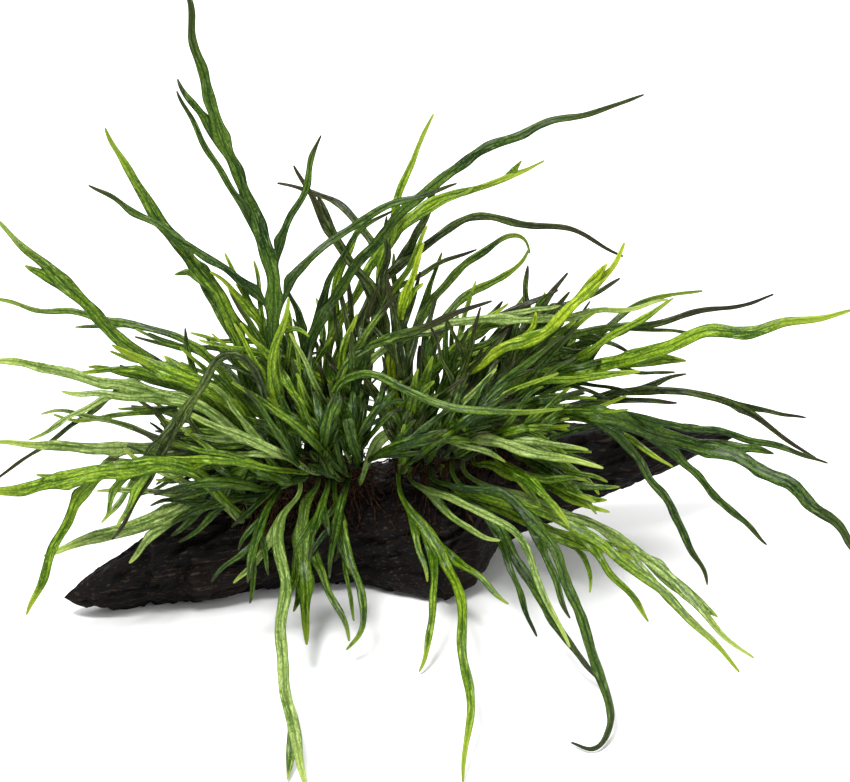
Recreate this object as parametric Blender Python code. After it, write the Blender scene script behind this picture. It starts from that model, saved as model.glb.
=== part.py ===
"""Java fern on driftwood: a creeping rhizome with forked, leathery fronds on a spindle of dark wood.

World frame in metres, +Z up, +X along the wood. The origin is the middle of the flat underside of the
wood. Sizes below are in millimetres and become metres when a mesh is made.

Fronds are laid out on a leaning sheet: "across" is +X, "up" climbs the sheet, which leans back by LEAN
degrees, and "out" comes forward from it.
"""
import bpy
import bmesh
import numpy as np
from math import cos, sin, pi, radians

MM = 0.001

# ---------------------------------------------------------------- driving dimensions (mm, degrees)
LEAN = 25.0
BLADE_THICK = 0.8
PETIOLE_WIDTH = 1.5
PETIOLE_SHARE = 0.07
OPENING_SHARE = 0.17
TIP_WIDTH = 0.7
STATION_STEP = 10.0
LOBE_STEP = 8.5
SAMPLE_STEP = 3.0
CLEARANCE = 3.1
WOOD_CLEARANCE = 3.4
TABLE_CLEARANCE = 1.0
GAP = 0.45
SEAT_GAP = 1.35
RHIZOME_RADIUS = 3.6
ROOT_RADIUS = 0.7
WOOD_SIDES = 18

# driftwood: x, y, z of the middle of each cross-section, then half its depth and half its height
WOOD = [
    (-122, -34, 7, 2.5, 4), (-113, -29, 8, 7, 7), (-100, -23, 10, 10, 10), (-85, -17, 13, 14, 14),
    (-70, -12, 15, 16, 16.5), (-50, -5, 16, 17, 16), (-30, 3, 17, 18, 17), (-12, 3, 18, 24, 19.5),
    (0, 0, 18, 27, 19.5), (10, 7, 19, 24, 20.5), (18, 17, 21, 17, 18), (35, 26, 23, 14, 16),
    (55, 33, 25, 10, 11), (75, 39, 27, 7, 7), (90, 42, 28.5, 3.5, 3.5), (96, 43, 29, 1.6, 1.6),
]

# rhizome runs: first and last x, the angle round the wood where they creep (0 front, 90 top), and how
# far the middle of the run arches off the wood, held up by its roots
RUNS = {"left": (-67, -26, 72, 9.0), "right": (-17, 25, 78, 5.0), "spur": (-64, -50, 122, 6.0)}

# root strands: x where they leave the rhizome, x where they end, last angle round the wood
ROOTS = [(-56, -63, 8), (-38, -32, 2), (4, 10, 14)]

TONES = {
    "deep": (0.045, 0.105, 0.022), "leaf": (0.075, 0.150, 0.030), "bright": (0.130, 0.240, 0.045),
    "pale": (0.250, 0.330, 0.130), "lime": (0.180, 0.300, 0.040), "dark": (0.022, 0.045, 0.014),
    "darktip": (0.070, 0.110, 0.030),
}

# fronds: name, tone, (run, share along it, angle round it: 0 front, 90 top, 180 back), blade width,
# how far the tip comes out, how far the middle bows out, the route (across, up) after the seat, and
# the lobes: (share along the frond, spread, length, width, curl); spread and curl turn anticlockwise
FRONDS = [
    ("tall_trident", "deep", ("left", .45, 100), 4.2, 60, 6,
     [(-56, 72), (-56, 95), (-62, 117), (-73, 143), (-81, 172), (-85, 199)],
     [(.30, 56, 72, 2.8, 6), (.31, -36, 72, 2.7, -44), (.39, -46, 44, 2.5, 20), (.455, 19, 52, 2.2, -14)]),
    ("broad_left", "leaf", ("left", .29, 118), 4.6, 38, 8,
     [(-65, 64), (-71, 86), (-86, 106), (-101, 127), (-111, 146)], [(.55, 60, 8, 1.6, 0)]),
    ("hooked_left", "bright", ("left", .37, 84), 2.6, 48, 4,
     [(-58, 62), (-59, 77), (-68, 92), (-77, 98)], [(.55, -34, 17, 1.8, -110)]),
    ("far_up_left", "leaf", ("left", .15, 70), 4.4, 46, 12,
     [(-77, 56), (-103, 74), (-125, 96), (-148, 116)], [(.34, 24, 30, 2.2, 0)]),
    ("golden_left", "bright", ("left", .20, 34), 4.6, 62, 10,
     [(-70, 56), (-95, 68), (-108, 75)], [(.74, 18, 28, 1.9, 10)]),
    ("thin_left", "leaf", ("left", .22, 140), 2.4, 14, 6,
     [(-73, 65), (-83, 75), (-97, 80), (-115, 84), (-135, 87), (-154, 91)], [(.22, 34, 44, 2.6, 6)]),
    ("dark_straw", "deep", ("spur", .3, 108), 1.8, 10, 0,
     [(-63, 66), (-70, 73), (-87, 74), (-103, 78)], [(.3, -44, 26, 1.4, -70)]),
    ("pale_left", "pale", ("left", .40, 8), 3.8, 68, 8,
     [(-77, 53), (-98, 60), (-117, 64), (-138, 69), (-156, 69)],
     [(.42, 16, 38, 2.6, -6), (.56, 40, 36, 1.9, 4)]),
    ("arching_left", "dark", ("left", .31, 52), 3.0, 76, 14,
     [(-61, 66), (-70, 71), (-78, 63), (-88, 46), (-100, 24), (-107, 12)], []),
    ("low_thin_left", "bright", ("left", .13, 24), 1.9, 44, 2,
     [(-80, 52), (-98, 53), (-118, 50), (-128, 52)], []),
    ("dark_thin_left", "dark", ("left", .20, 165), 1.7, 2, 0,
     [(-77, 62), (-95, 65), (-107, 61), (-122, 49), (-142, 36), (-153, 27)], []),
    ("white_left", "pale", ("left", .10, 4), 3.9, 58, 4,
     [(-85, 39), (-108, 41), (-128, 42), (-147, 43)],
     [(.38, -24, 46, 1.9, 42), (.44, 58, 30, 2.1, 0), (.58, 58, 26, 1.8, 0)]),
    ("main_left", "bright", ("left", .05, -20), 4.9, 82, 8,
     [(-85, 35), (-108, 34), (-128, 30), (-148, 27), (-157, 25)],
     [(.42, 60, 22, 2.0, 0), (.50, 62, 17, 1.7, 0), (.59, 50, 50, 3.3, 10), (.66, -22, 10, 1.2, 0)]),
    ("low_left", "pale", ("left", .01, -30), 5.0, 66, 4,
     [(-75, 27), (-87, 21), (-107, 14), (-130, 7)],
     [(.22, 30, 36, 2.3, -22), (.32, -34, 34, 2.0, 0), (.48, 32, 20, 2.4, 0)]),
    ("crown_spear", "bright", ("left", .43, 60), 3.1, 60, 4, [(-56, 62), (-55, 73), (-51, 90)], []),
    ("crown_small", "leaf", ("left", .54, 64), 2.4, 46, 3, [(-48, 65), (-49, 74), (-51, 84)],
     [(.42, -30, 22, 1.6, -10)]),
    ("crown_fork", "bright", ("left", .86, 72), 2.9, 52, 4, [(-34, 64), (-33, 75), (-29, 85)],
     [(.42, 46, 24, 2.3, 10)]),
    ("great_up", "deep", ("left", .57, 108), 3.5, 44, 8,
     [(-46, 69), (-38, 88), (-13, 119), (18, 141), (56, 153), (65, 156)],
     [(.19, 34, 20, 2.3, 0), (.25, 26, 44, 2.0, -58)]),
    ("forked_up", "bright", ("left", .66, 138), 2.9, 14, 4,
     [(-38, 75), (-28, 95), (-15, 114), (-2, 123), (15, 128), (33, 136)],
     [(.30, 30, 40, 2.6, -50), (.90, 26, 7, 1.3, 0)]),
    ("arching_up", "dark", ("left", .73, 158), 2.8, -14, 4,
     [(-33, 73), (-22, 94), (-7, 108), (8, 117), (25, 116), (43, 113), (60, 105)],
     [(.46, 22, 32, 2.6, 6), (.27, -16, 50, 1.9, -34)]),
    ("dark_strap", "dark", ("right", .04, 110), 3.3, 36, 4,
     [(-19, 73), (-23, 91), (-33, 105), (-42, 119), (-49, 134)], [(.48, -36, 28, 2.4, 16)]),
    ("back_strap", "dark", ("right", .12, 142), 2.9, 2, 0,
     [(-16, 73), (-18, 91), (-26, 111), (-37, 123), (-56, 129)], []),
    ("bright_spear", "bright", ("left", .96, 120), 2.9, 26, 3,
     [(-24, 75), (-20, 103), (-15, 124), (-9, 140), (-4, 151)], [(.40, -30, 34, 2.2, 14)]),
    ("lime_spear", "lime", ("right", .09, 62), 3.1, 48, 3, [(-18, 67), (-14, 87), (-7, 108)],
     [(.72, -30, 8, 1.3, 0)]),
    ("outer_loop", "leaf", ("right", .20, 162), 2.9, -16, 3,
     [(-12, 72), (-5, 89), (8, 103), (18, 110), (26, 111), (29, 106)], [(.34, 28, 32, 2.2, -16)]),
    ("inner_loop", "leaf", ("right", .25, 100), 2.9, 8, 3,
     [(-7, 70), (2, 87), (16, 96), (25, 102), (28, 107)], [(.34, -14, 18, 2.2, -20)]),
    ("dark_tipped", "darktip", ("right", .30, 62), 3.2, 32, 4,
     [(-4, 67), (8, 77), (22, 86), (37, 93)], [(.42, -30, 26, 2.0, 30)]),
    ("ribbed", "darktip", ("left", .77, 42), 2.8, 62, 6, [(-35, 64), (-22, 75), (-3, 82), (15, 89)],
     [(.42, 26, 26, 2.0, -16)]),
    ("level", "pale", ("left", .91, 34), 2.9, 40, 4,
     [(-28, 65), (-13, 77), (8, 83), (28, 83), (47, 85), (73, 89)], []),
    ("lime_broad", "lime", ("right", .42, 82), 3.8, 40, 4,
     [(2, 63), (17, 72), (32, 79), (43, 89), (53, 99), (59, 108)], [(.52, 50, 9, 1.3, 0)]),
    ("eyed", "leaf", ("right", .47, 42), 2.3, 20, 3,
     [(8, 63), (28, 68), (43, 74), (56, 83), (68, 90), (85, 93)], []),
    ("slim", "darktip", ("right", .54, 102), 2.3, 30, 4,
     [(12, 67), (32, 76), (52, 80), (73, 83), (108, 91)], [(.3, -26, 26, 2.0, 12), (.46, -30, 18, 1.8, 0)]),
    ("long_right", "bright", ("right", .63, 52), 4.7, 56, 6,
     [(18, 61), (38, 66), (60, 70), (82, 78), (103, 80), (132, 86)],
     [(.30, 30, 42, 2.5, -14), (.18, -16, 40, 2.8, 10)]),
    ("bowed", "dark", ("right", .73, 92), 2.6, 30, 3,
     [(22, 58), (40, 55), (58, 59), (75, 60), (93, 56), (107, 48), (122, 37)], [(.36, -20, 26, 2.0, 6)]),
    ("over", "leaf", ("left", .82, 8), 2.8, 66, 8,
     [(-37, 58), (-26, 65), (-12, 60), (3, 54), (22, 53), (38, 54)], []),
    ("straight", "bright", ("right", .51, 6), 2.3, 50, 2,
     [(15, 48), (33, 52), (48, 54), (59, 58)], [(.70, -26, 38, 2.3, -18)]),
    ("great_right", "deep", ("right", .95, 24), 4.9, 52, 3,
     [(38, 53), (55, 51), (73, 44), (93, 39), (112, 29), (127, 16), (141, -1)],
     [(.22, -34, 68, 2.9, -24), (.38, -30, 50, 2.6, 10), (.28, 16, 70, 2.5, -18)]),
    ("white_right", "pale", ("left", .95, -8), 4.0, 66, 6,
     [(-22, 44), (-8, 47), (12, 44), (32, 39), (51, 35)], [(.42, -20, 26, 2.2, 4)]),
    ("low_short", "bright", ("right", .62, -24), 3.0, 56, 3,
     [(14, 36), (22, 32), (34, 28), (53, 20)], [(.34, 22, 30, 2.1, -30)]),
    ("low_long", "pale", ("right", .54, -26), 3.4, 64, 3,
     [(13, 29), (33, 22), (52, 14), (72, 0), (89, -18), (99, -27)], [(.52, -22, 28, 2.4, 6)]),
    ("low_twin", "bright", ("right", .46, -24), 3.3, 84, 3,
     [(10, 26), (35, 19), (53, 8), (74, -9), (94, -30)], [(.44, -24, 36, 2.4, 8)]),
    ("low_broad", "bright", ("right", .385, -22), 3.2, 66, 3,
     [(8, 25), (27, 17), (44, 10), (61, 5)], [(.70, 20, 20, 1.7, -14), (.72, -26, 18, 1.4, -50)]),
    ("front_hooked", "deep", ("right", .31, -28), 3.5, 98, 6,
     [(18, 26), (32, 13), (40, -4), (48, -28), (52, -43), (47, -53), (39, -51)], [(.34, -24, 32, 2.4, 8)]),
    ("front_strap", "deep", ("right", .24, -28), 3.5, 84, 6,
     [(14, 19), (26, 0), (38, -19), (49, -33)], [(.35, -22, 40, 2.1, 0)]),
    ("front_slip", "pale", ("right", .15, -28), 2.5, 96, 6,
     [(11, 21), (24, 12), (30, -2), (39, -22)], [(.16, -40, 28, 2.2, 50)]),
    ("front_hand", "bright", ("right", .04, -24), 3.3, 128, 4,
     [(-13, 22), (-4, 11), (3, -3), (6, -23), (7, -47), (5, -62)],
     [(.16, -34, 22, 2.0, 10), (.24, -26, 44, 2.5, -30), (.30, 28, 28, 2.2, -10)]),
    ("front_claw", "leaf", ("left", .62, -20), 4.3, 72, 5, [(-47, 22), (-46, 3), (-45, -22)],
     [(.42, 30, 36, 2.4, -20), (.5, -24, 16, 2.1, 0), (.65, -20, 10, 1.9, 0)]),
    ("front_tail", "pale", ("left", .47, -28), 3.9, 134, 5,
     [(-54, 17), (-52, -3), (-52, -28), (-48, -45), (-42, -69)], [(.17, -22, 24, 2.3, -20)]),
    ("front_slim", "leaf", ("left", .75, -28), 2.7, 64, 4,
     [(-34, 15), (-28, -3), (-27, -16), (-32, -24)], []),
    ("back_left", "leaf", ("left", .52, 172), 3.6, -84, 14, [(-60, 60), (-74, 60)],
     [(.45, 44, 28, 2.4, 0), (.55, -40, 24, 2.2, 0)]),
    ("back_mid", "deep", ("left", .84, 178), 3.6, -98, 14, [(-32, 58), (-24, 56)],
     [(.45, 44, 28, 2.4, 0), (.55, -40, 24, 2.2, 0)]),
    ("back_right", "leaf", ("right", .90, 170), 3.6, -78, 12, [(18, 54), (34, 56)],
     [(.45, 44, 28, 2.4, 0), (.55, -40, 24, 2.2, 0)]),
]


# ---------------------------------------------------------------- small helpers
def clear_scene():
    for thing in list(bpy.data.objects):
        bpy.data.objects.remove(thing, do_unlink=True)


def make_material(name, colour, roughness):
    material = bpy.data.materials.new(name)
    material.use_nodes = True
    shader = material.node_tree.nodes["Principled BSDF"]
    shader.inputs["Base Color"].default_value = (*colour, 1.0)
    shader.inputs["Roughness"].default_value = roughness
    shader.inputs["Metallic"].default_value = 0.0
    return material


def make_object(name, bm, material, smooth_angle=40):
    mesh = bpy.data.meshes.new(name)
    bmesh.ops.recalc_face_normals(bm, faces=bm.faces)
    bm.to_mesh(mesh)
    bm.free()
    mesh.shade_smooth()
    mesh.set_sharp_from_angle(angle=radians(smooth_angle))
    mesh.materials.append(material)
    thing = bpy.data.objects.new(name, mesh)
    bpy.context.collection.objects.link(thing)
    return thing


def sheet_to_world(p):
    """(across, up, out) points to (x, y, z), both in millimetres."""
    p = np.asarray(p, dtype=float)
    across, up, out = p[..., 0], p[..., 1], p[..., 2]
    y = up * sin(radians(LEAN)) - out * cos(radians(LEAN))
    z = up * cos(radians(LEAN)) + out * sin(radians(LEAN))
    return np.stack([across, y, z], axis=-1)


def world_to_sheet(p):
    x, y, z = p
    up = y * sin(radians(LEAN)) + z * cos(radians(LEAN))
    out = z * sin(radians(LEAN)) - y * cos(radians(LEAN))
    return np.array([x, up, out])


def smooth_route(points, step):
    """Evenly spaced points on a Catmull-Rom curve through the given ones."""
    pts = np.asarray(points, dtype=float)
    pts = np.vstack([2 * pts[0] - pts[1], pts, 2 * pts[-1] - pts[-2]])
    dense = []
    for i in range(1, len(pts) - 2):
        a, b, c, d = pts[i - 1:i + 3]
        for t in np.linspace(0, 1, 24, endpoint=False):
            dense.append(0.5 * (2 * b + (c - a) * t + (2 * a - 5 * b + 4 * c - d) * t ** 2
                                + (3 * b - a - 3 * c + d) * t ** 3))
    dense = np.array(dense + [pts[-2]])
    run = np.concatenate([[0], np.cumsum(np.linalg.norm(np.diff(dense, axis=0), axis=1))])
    count = max(3, int(round(run[-1] / step)) + 1)
    want = np.linspace(0, run[-1], count)
    return np.stack([np.interp(want, run, dense[:, k]) for k in range(dense.shape[1])], axis=1)


def at_share(points, share):
    """The point a given share along an evenly spaced line."""
    where = np.linspace(0, 1, len(points))
    return np.array([np.interp(share, where, points[:, k]) for k in range(points.shape[1])])


def loft(bm, rings):
    """Closed body through rings of points, capped at both ends."""
    rows = [[bm.verts.new(np.asarray(p) * MM) for p in ring] for ring in rings]
    n = len(rows[0])
    for low, high in zip(rows, rows[1:]):
        for k in range(n):
            bm.faces.new((low[k], low[(k + 1) % n], high[(k + 1) % n], high[k]))
    bm.faces.new(list(reversed(rows[0])))
    bm.faces.new(rows[-1])


# ---------------------------------------------------------------- driftwood
def wood_section(x):
    table = np.array(WOOD, dtype=float)
    return [float(np.interp(x, table[:, 0], table[:, k])) for k in range(1, 5)]


def wood_point(x, angle, lift):
    """A point lifted off the wood; angle 0 is the front, 90 the top."""
    y, z, deep, high = wood_section(x)
    a = radians(angle)
    return np.array([x, y - cos(a) * (deep + lift), z + sin(a) * (high + lift)])


def build_driftwood(material):
    bm = bmesh.new()
    rings = []
    for x, y, z, deep, high in WOOD:
        ring = []
        for k in range(WOOD_SIDES):
            a = 2 * pi * k / WOOD_SIDES
            ring.append((x, y - cos(a) * deep, max(0.0, z + sin(a) * high)))
        rings.append(ring)
    loft(bm, rings)
    bmesh.ops.dissolve_degenerate(bm, dist=0.01 * MM, edges=bm.edges)
    return make_object("driftwood", bm, material)


# ---------------------------------------------------------------- rhizome and roots
def tube(name, points, radii, sides, material):
    bm = bmesh.new()
    points = np.asarray(points)
    tangents = np.gradient(points, axis=0)
    rings = []
    for p, t, r in zip(points, tangents, radii):
        t = t / np.linalg.norm(t)
        side = np.cross(t, (0.3, -0.2, 0.93))
        side /= np.linalg.norm(side)
        rise = np.cross(side, t)
        angles = [2 * pi * k / sides for k in range(sides)]
        rings.append([p + r * (cos(a) * side + sin(a) * rise) for a in angles])
    loft(bm, rings)
    return make_object(name, bm, material)


def rhizome_line(run):
    first, last, angle, arch = RUNS[run]
    line = []
    for share in np.linspace(0, 1, 11):
        lift = RHIZOME_RADIUS + GAP + 1.6 + arch * sin(pi * share)
        line.append(wood_point(first + (last - first) * share, angle, lift))
    return np.array(line)


def seat_on(run, share, angle):
    """A petiole's seat on the rhizome and the way it leaves, both in world millimetres."""
    centre = at_share(rhizome_line(run), share)
    a = radians(angle)
    away = np.array([0.0, -cos(a), sin(a)])
    return centre + away * (RHIZOME_RADIUS + SEAT_GAP), away


def build_rhizomes(material):
    for run in RUNS:
        line = rhizome_line(run)
        swell = [RHIZOME_RADIUS * (0.45 + 0.55 * sin(pi * t) ** 0.35) for t in np.linspace(0, 1, 11)]
        tube("rhizome_" + run, line, swell, 10, material)


def build_roots(material):
    for n, (start, end, last) in enumerate(ROOTS, 1):
        steps = np.linspace(0, 1, 8)
        line = [wood_point(start + (end - start) * t, 52 + (last - 52) * t, 1.6) for t in steps]
        tube("root_%02d" % n, line, [ROOT_RADIUS * (1 - 0.55 * t) for t in steps], 6, material)


# ---------------------------------------------------------------- laying out the fronds
def width_along(share, width, petiole):
    """Full width: a thin petiole that opens into the blade and narrows to the tip."""
    base = PETIOLE_WIDTH if petiole else width
    opening = np.clip((share - PETIOLE_SHARE) / OPENING_SHARE, 0, 1) if petiole else 1.0
    body = base + (width - base) * opening * opening * (3 - 2 * opening)
    taper = np.clip((1 - share) / 0.30, 0, 1) ** 0.7
    return TIP_WIDTH + (body - TIP_WIDTH) * taper


def main_strand(frond):
    name, tone, seat, width, tip_out, bow, route, lobes = frond
    start, away = seat_on(*seat)
    first = world_to_sheet(start)
    second = world_to_sheet(start + away * 7)
    flat = smooth_route([first[:2], second[:2]] + [np.array(p, float) for p in route], SAMPLE_STEP)
    share = np.linspace(0, 1, len(flat))
    out = first[2] + (tip_out - first[2]) * share + bow * 4 * share * (1 - share)
    return {"points": np.column_stack([flat, out]), "width": width, "petiole": True}


def lobe_strand(parent, lobe):
    share, spread, length, width, curl = lobe
    points = parent["points"]
    base = at_share(points, share)
    ahead = at_share(points, share + 0.03) - at_share(points, share - 0.03)
    heading = np.arctan2(ahead[1], ahead[0])
    count = max(4, int(round(length / SAMPLE_STEP)) + 1)
    step = length / (count - 1)
    here = base.copy()
    line = [here.copy()]
    for k in range(1, count):
        turned = heading + radians(spread + curl * (k - 0.5) / (count - 1))
        here = here + step * np.array([cos(turned), sin(turned), 0.0])
        line.append(here.copy())
    return {"points": np.array(line), "width": width, "petiole": False, "share": share,
            "side": 1 if spread > 0 else -1}


def wood_faces(across, up):
    """How far out the wood's front and back lie at a place on the sheet, or None beside it."""
    if not WOOD[0][0] < across < WOOD[-1][0]:
        return None
    y, z, deep, high = wood_section(across)
    deep += 1.5
    high += 1.5
    s, c = sin(radians(LEAN)), cos(radians(LEAN))
    py, pz = up * s - y, up * c - z
    a = (c / deep) ** 2 + (s / high) ** 2
    b = 2 * (-py * c / deep ** 2 + pz * s / high ** 2)
    k = (py / deep) ** 2 + (pz / high) ** 2 - 1
    inside = b * b - 4 * a * k
    if inside <= 0:
        return None
    root = inside ** 0.5
    return (-b + root) / (2 * a), (-b - root) / (2 * a)


def lay_out_fronds():
    fronds = []
    for frond in FRONDS:
        main = main_strand(frond)
        strands = [main] + [lobe_strand(main, lobe) for lobe in frond[7]]
        fronds.append({"name": frond[0], "tone": frond[1], "strands": strands, "tip_out": frond[4],
                       "behind": frond[2][2] > 150, "low_seat": frond[2][2] < 40})
    return fronds


def let_fronds_give_way(fronds, rounds=160):
    """Shift blades along "out" until crossing ones clear each other, the wood and the table."""
    strands = [(n, s) for n, f in enumerate(fronds) for s in f["strands"]]
    flat, half, free, owner, strand_id, along = [], [], [], [], [], []
    spans = []
    for k, (n, s) in enumerate(strands):
        count = len(s["points"])
        share = np.linspace(0, 1, count)
        spans.append((len(flat), len(flat) + count))
        run = np.arange(count) * SAMPLE_STEP
        for j in range(count):
            flat.append(s["points"][j])
            half.append(width_along(share[j], s["width"], s["petiole"]) / 2)
            free.append(np.clip((run[j] - 1) / (9 if s["petiole"] else 6), 0, 1))
            owner.append(n)
            strand_id.append(k)
            along.append(run[j])
    flat, half, free = np.array(flat), np.array(half), np.array(free)
    owner, strand_id, along = np.array(owner), np.array(strand_id), np.array(along)
    base_out = flat[:, 2].copy()
    gap = np.linalg.norm(flat[:, None, :2] - flat[None, :, :2], axis=2)
    near = gap < half[:, None] + half[None, :] + 2.2
    same = owner[:, None] == owner[None, :]
    joined = same & ((strand_id[:, None] == strand_id[None, :]) | (np.minimum.outer(along, along) < 9))
    first, second = np.nonzero(np.triu(near & ~joined, 1))
    # one order for all strands, by how far their frond's tip comes out, so that no ring of pushes forms
    ahead = sorted(range(len(strands)), key=lambda k: (fronds[strands[k][0]]["tip_out"], k))
    rank = np.empty(len(strands))
    rank[ahead] = np.arange(len(strands))
    order = np.sign(rank[strand_id[first]] - rank[strand_id[second]])
    offset = np.zeros(len(flat))
    rhizomes = [world_to_sheet(p) for run in RUNS for p in smooth_route(rhizome_line(run), 2.0)]
    rhizomes = np.array(rhizomes)
    push_front = np.full(len(flat), -1e9)
    push_back = np.full(len(flat), 1e9)
    for i, (across, up, out) in enumerate(flat):
        faces = wood_faces(across, up)
        if faces and fronds[owner[i]]["behind"]:
            push_back[i] = faces[1] - WOOD_CLEARANCE
        elif faces:
            push_front[i] = faces[0] + WOOD_CLEARANCE
        close = np.linalg.norm(rhizomes[:, :2] - (across, up), axis=1) < RHIZOME_RADIUS + half[i] + 0.8
        if close.any() and fronds[owner[i]]["low_seat"] and along[i] > 2:
            push_front[i] = max(push_front[i], rhizomes[close, 2].max() + RHIZOME_RADIUS + 2.2)
        table = (TABLE_CLEARANCE + half[i] * 0.5 - up * cos(radians(LEAN))) / sin(radians(LEAN))
        push_front[i] = max(push_front[i], table)
    parents = {}
    for k, (n, s) in enumerate(strands):
        if not s["petiole"]:
            main = next(m for m, (o, q) in enumerate(strands) if o == n and q["petiole"])
            low, high = spans[main]
            parents[k] = low + int(round(s["share"] * (high - low - 1)))
    for turn in range(rounds):
        out = base_out + offset
        need = CLEARANCE - (out[first] - out[second]) * order
        push = np.where(need > 0, need * 0.55, 0) * order
        weight = free[first] + free[second] + 1e-6
        move, hits = np.zeros(len(flat)), np.zeros(len(flat))
        np.add.at(move, first, push * free[first] / weight)
        np.add.at(move, second, -push * free[second] / weight)
        np.add.at(hits, first, (need > 0) * 1.0)
        np.add.at(hits, second, (need > 0) * 1.0)
        offset = offset + 1.6 * move / np.maximum(hits, 1) ** 0.5
        out = base_out + offset
        out = np.where(free > 0, np.maximum(out, push_front), out)
        out = np.where(free > 0, np.minimum(out, push_back), out)
        offset = out - base_out
        for k, (low, high) in enumerate(spans):
            part = offset[low:high]
            if turn < rounds - 12:
                part[1:-1] = 0.5 * part[1:-1] + 0.25 * (part[:-2] + part[2:])
            if k in parents:
                lead = base_out[parents[k]] + offset[parents[k]] - base_out[low]
                fade = 1 - free[low:high]
                part[:] = part * (1 - fade) + lead * fade
    for k, (n, s) in enumerate(strands):
        low, high = spans[k]
        s["points"][:, 2] = base_out[low:high] + offset[low:high]


# ---------------------------------------------------------------- blades
def blade_frame(world, facing):
    """Width direction at each point of a strand, square to its run and to the way it faces."""
    run = np.gradient(world, axis=0)
    run /= np.linalg.norm(run, axis=1)[:, None]
    wide = np.cross(facing, run)
    wide /= np.linalg.norm(wide, axis=1)[:, None]
    return wide


def resample(strand, shares):
    points = strand["points"]
    return sheet_to_world(np.array([at_share(points, t) for t in shares]))


def build_frond(frond, number, material):
    bm = bmesh.new()
    main = frond["strands"][0]
    lobes = frond["strands"][1:]
    length = (len(main["points"]) - 1) * SAMPLE_STEP
    marks = []
    for lobe in lobes:
        reach = 0.75 * lobe["width"] / length
        marks += [lobe["share"] - reach, lobe["share"] + reach]
    plain = np.linspace(0, 1, max(5, int(round(length / STATION_STEP)) + 1))
    plain = [t for t in plain if all(abs(t - m) > 3.2 / length for m in marks) or t in (0.0, 1.0)]
    shares = np.array(sorted(set(list(plain) + marks)))
    facing = np.array([0.0, -0.80, 0.60])
    world = resample(main, shares)
    wide = blade_frame(world, facing)
    halves = [width_along(t, main["width"], True) / 2 for t in shares]
    left = [bm.verts.new((p - w * h) * MM) for p, w, h in zip(world, wide, halves)]
    right = [bm.verts.new((p + w * h) * MM) for p, w, h in zip(world, wide, halves)]
    for k in range(len(shares) - 1):
        bm.faces.new((left[k], right[k], right[k + 1], left[k + 1]))
    for lobe in lobes:
        k = int(np.argmin(np.abs(shares - (lobe["share"] - 0.75 * lobe["width"] / length))))
        # cross(facing, run) points to the right of a climbing frond seen from the front
        rail = (left if lobe["side"] > 0 else right) if wide_is_right(wide[k], world, k) else \
               (right if lobe["side"] > 0 else left)
        count = max(3, int(round((len(lobe["points"]) - 1) * SAMPLE_STEP / LOBE_STEP)) + 1)
        lobe_shares = np.linspace(0, 1, count)
        lobe_world = resample(lobe, lobe_shares)
        lobe_wide = blade_frame(lobe_world, facing)
        near, far = rail[k], rail[k + 1]
        for t, p, w in list(zip(lobe_shares, lobe_world, lobe_wide))[1:]:
            h = width_along(t, lobe["width"], False) / 2
            one = p + w * h
            two = p - w * h
            if np.dot(one - two, np.array(near.co) - np.array(far.co)) < 0:
                one, two = two, one
            a = bm.verts.new(one * MM)
            b = bm.verts.new(two * MM)
            bm.faces.new((near, far, b, a))
            near, far = a, b
    thing = make_object("frond_%02d_%s" % (number, frond["name"]), bm, material, 60)
    thick = thing.modifiers.new("thickness", "SOLIDIFY")
    thick.thickness = BLADE_THICK * MM
    thick.offset = 0.0
    return thing


def wide_is_right(wide, world, k):
    """True if the width direction is to the right hand of the frond's run, seen from the front."""
    run = world[min(k + 1, len(world) - 1)] - world[max(k - 1, 0)]
    toward = np.array([0.0, -cos(radians(LEAN)), sin(radians(LEAN))])
    return float(np.dot(np.cross(run, toward), wide)) > 0


# ---------------------------------------------------------------- the part
def main():
    clear_scene()
    build_driftwood(make_material("driftwood", (0.030, 0.022, 0.016), 0.75))
    build_rhizomes(make_material("rhizome", (0.060, 0.042, 0.020), 0.70))
    build_roots(make_material("roots", (0.035, 0.020, 0.012), 0.85))
    tones = {tone: make_material("frond_" + tone, colour, 0.38) for tone, colour in TONES.items()}
    fronds = lay_out_fronds()
    let_fronds_give_way(fronds)
    for number, frond in enumerate(fronds, 1):
        build_frond(frond, number, tones[frond["tone"]])


main()
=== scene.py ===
# %% [markdown]
# # Java fern on driftwood
# A java fern has no stem and no soil. A brown rhizome creeps over a piece of dark driftwood and holds on
# with hairy roots, and every frond grows from that rhizome on its own thin stalk. This lesson dresses the
# measured frame of the plant: leathery forked blades with netted veins, scaly rhizome, root hairs and wood.
# The frame comes first, because every piece has to lie where the solid parts lie.

# %% The frame
from math import cos, sin, pi, radians

import bmesh
import bpy
import numpy as np
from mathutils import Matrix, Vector, kdtree, noise


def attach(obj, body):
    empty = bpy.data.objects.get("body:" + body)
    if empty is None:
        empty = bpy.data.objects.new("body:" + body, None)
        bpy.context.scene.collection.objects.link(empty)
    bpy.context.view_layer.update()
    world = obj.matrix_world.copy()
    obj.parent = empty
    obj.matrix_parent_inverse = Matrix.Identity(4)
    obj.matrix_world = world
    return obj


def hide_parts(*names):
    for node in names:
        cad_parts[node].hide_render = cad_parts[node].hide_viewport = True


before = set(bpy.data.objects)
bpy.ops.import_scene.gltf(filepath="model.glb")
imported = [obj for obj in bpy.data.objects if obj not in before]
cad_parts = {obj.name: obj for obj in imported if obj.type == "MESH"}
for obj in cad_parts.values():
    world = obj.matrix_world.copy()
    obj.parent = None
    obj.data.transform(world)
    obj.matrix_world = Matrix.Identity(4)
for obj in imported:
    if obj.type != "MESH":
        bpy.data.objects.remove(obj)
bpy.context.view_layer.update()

MM = 0.001
NATURAL_BASE = 2.718


def fading(distance):
    """1 at no distance, and falling towards 0 as it grows."""
    return NATURAL_BASE ** -distance


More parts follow.
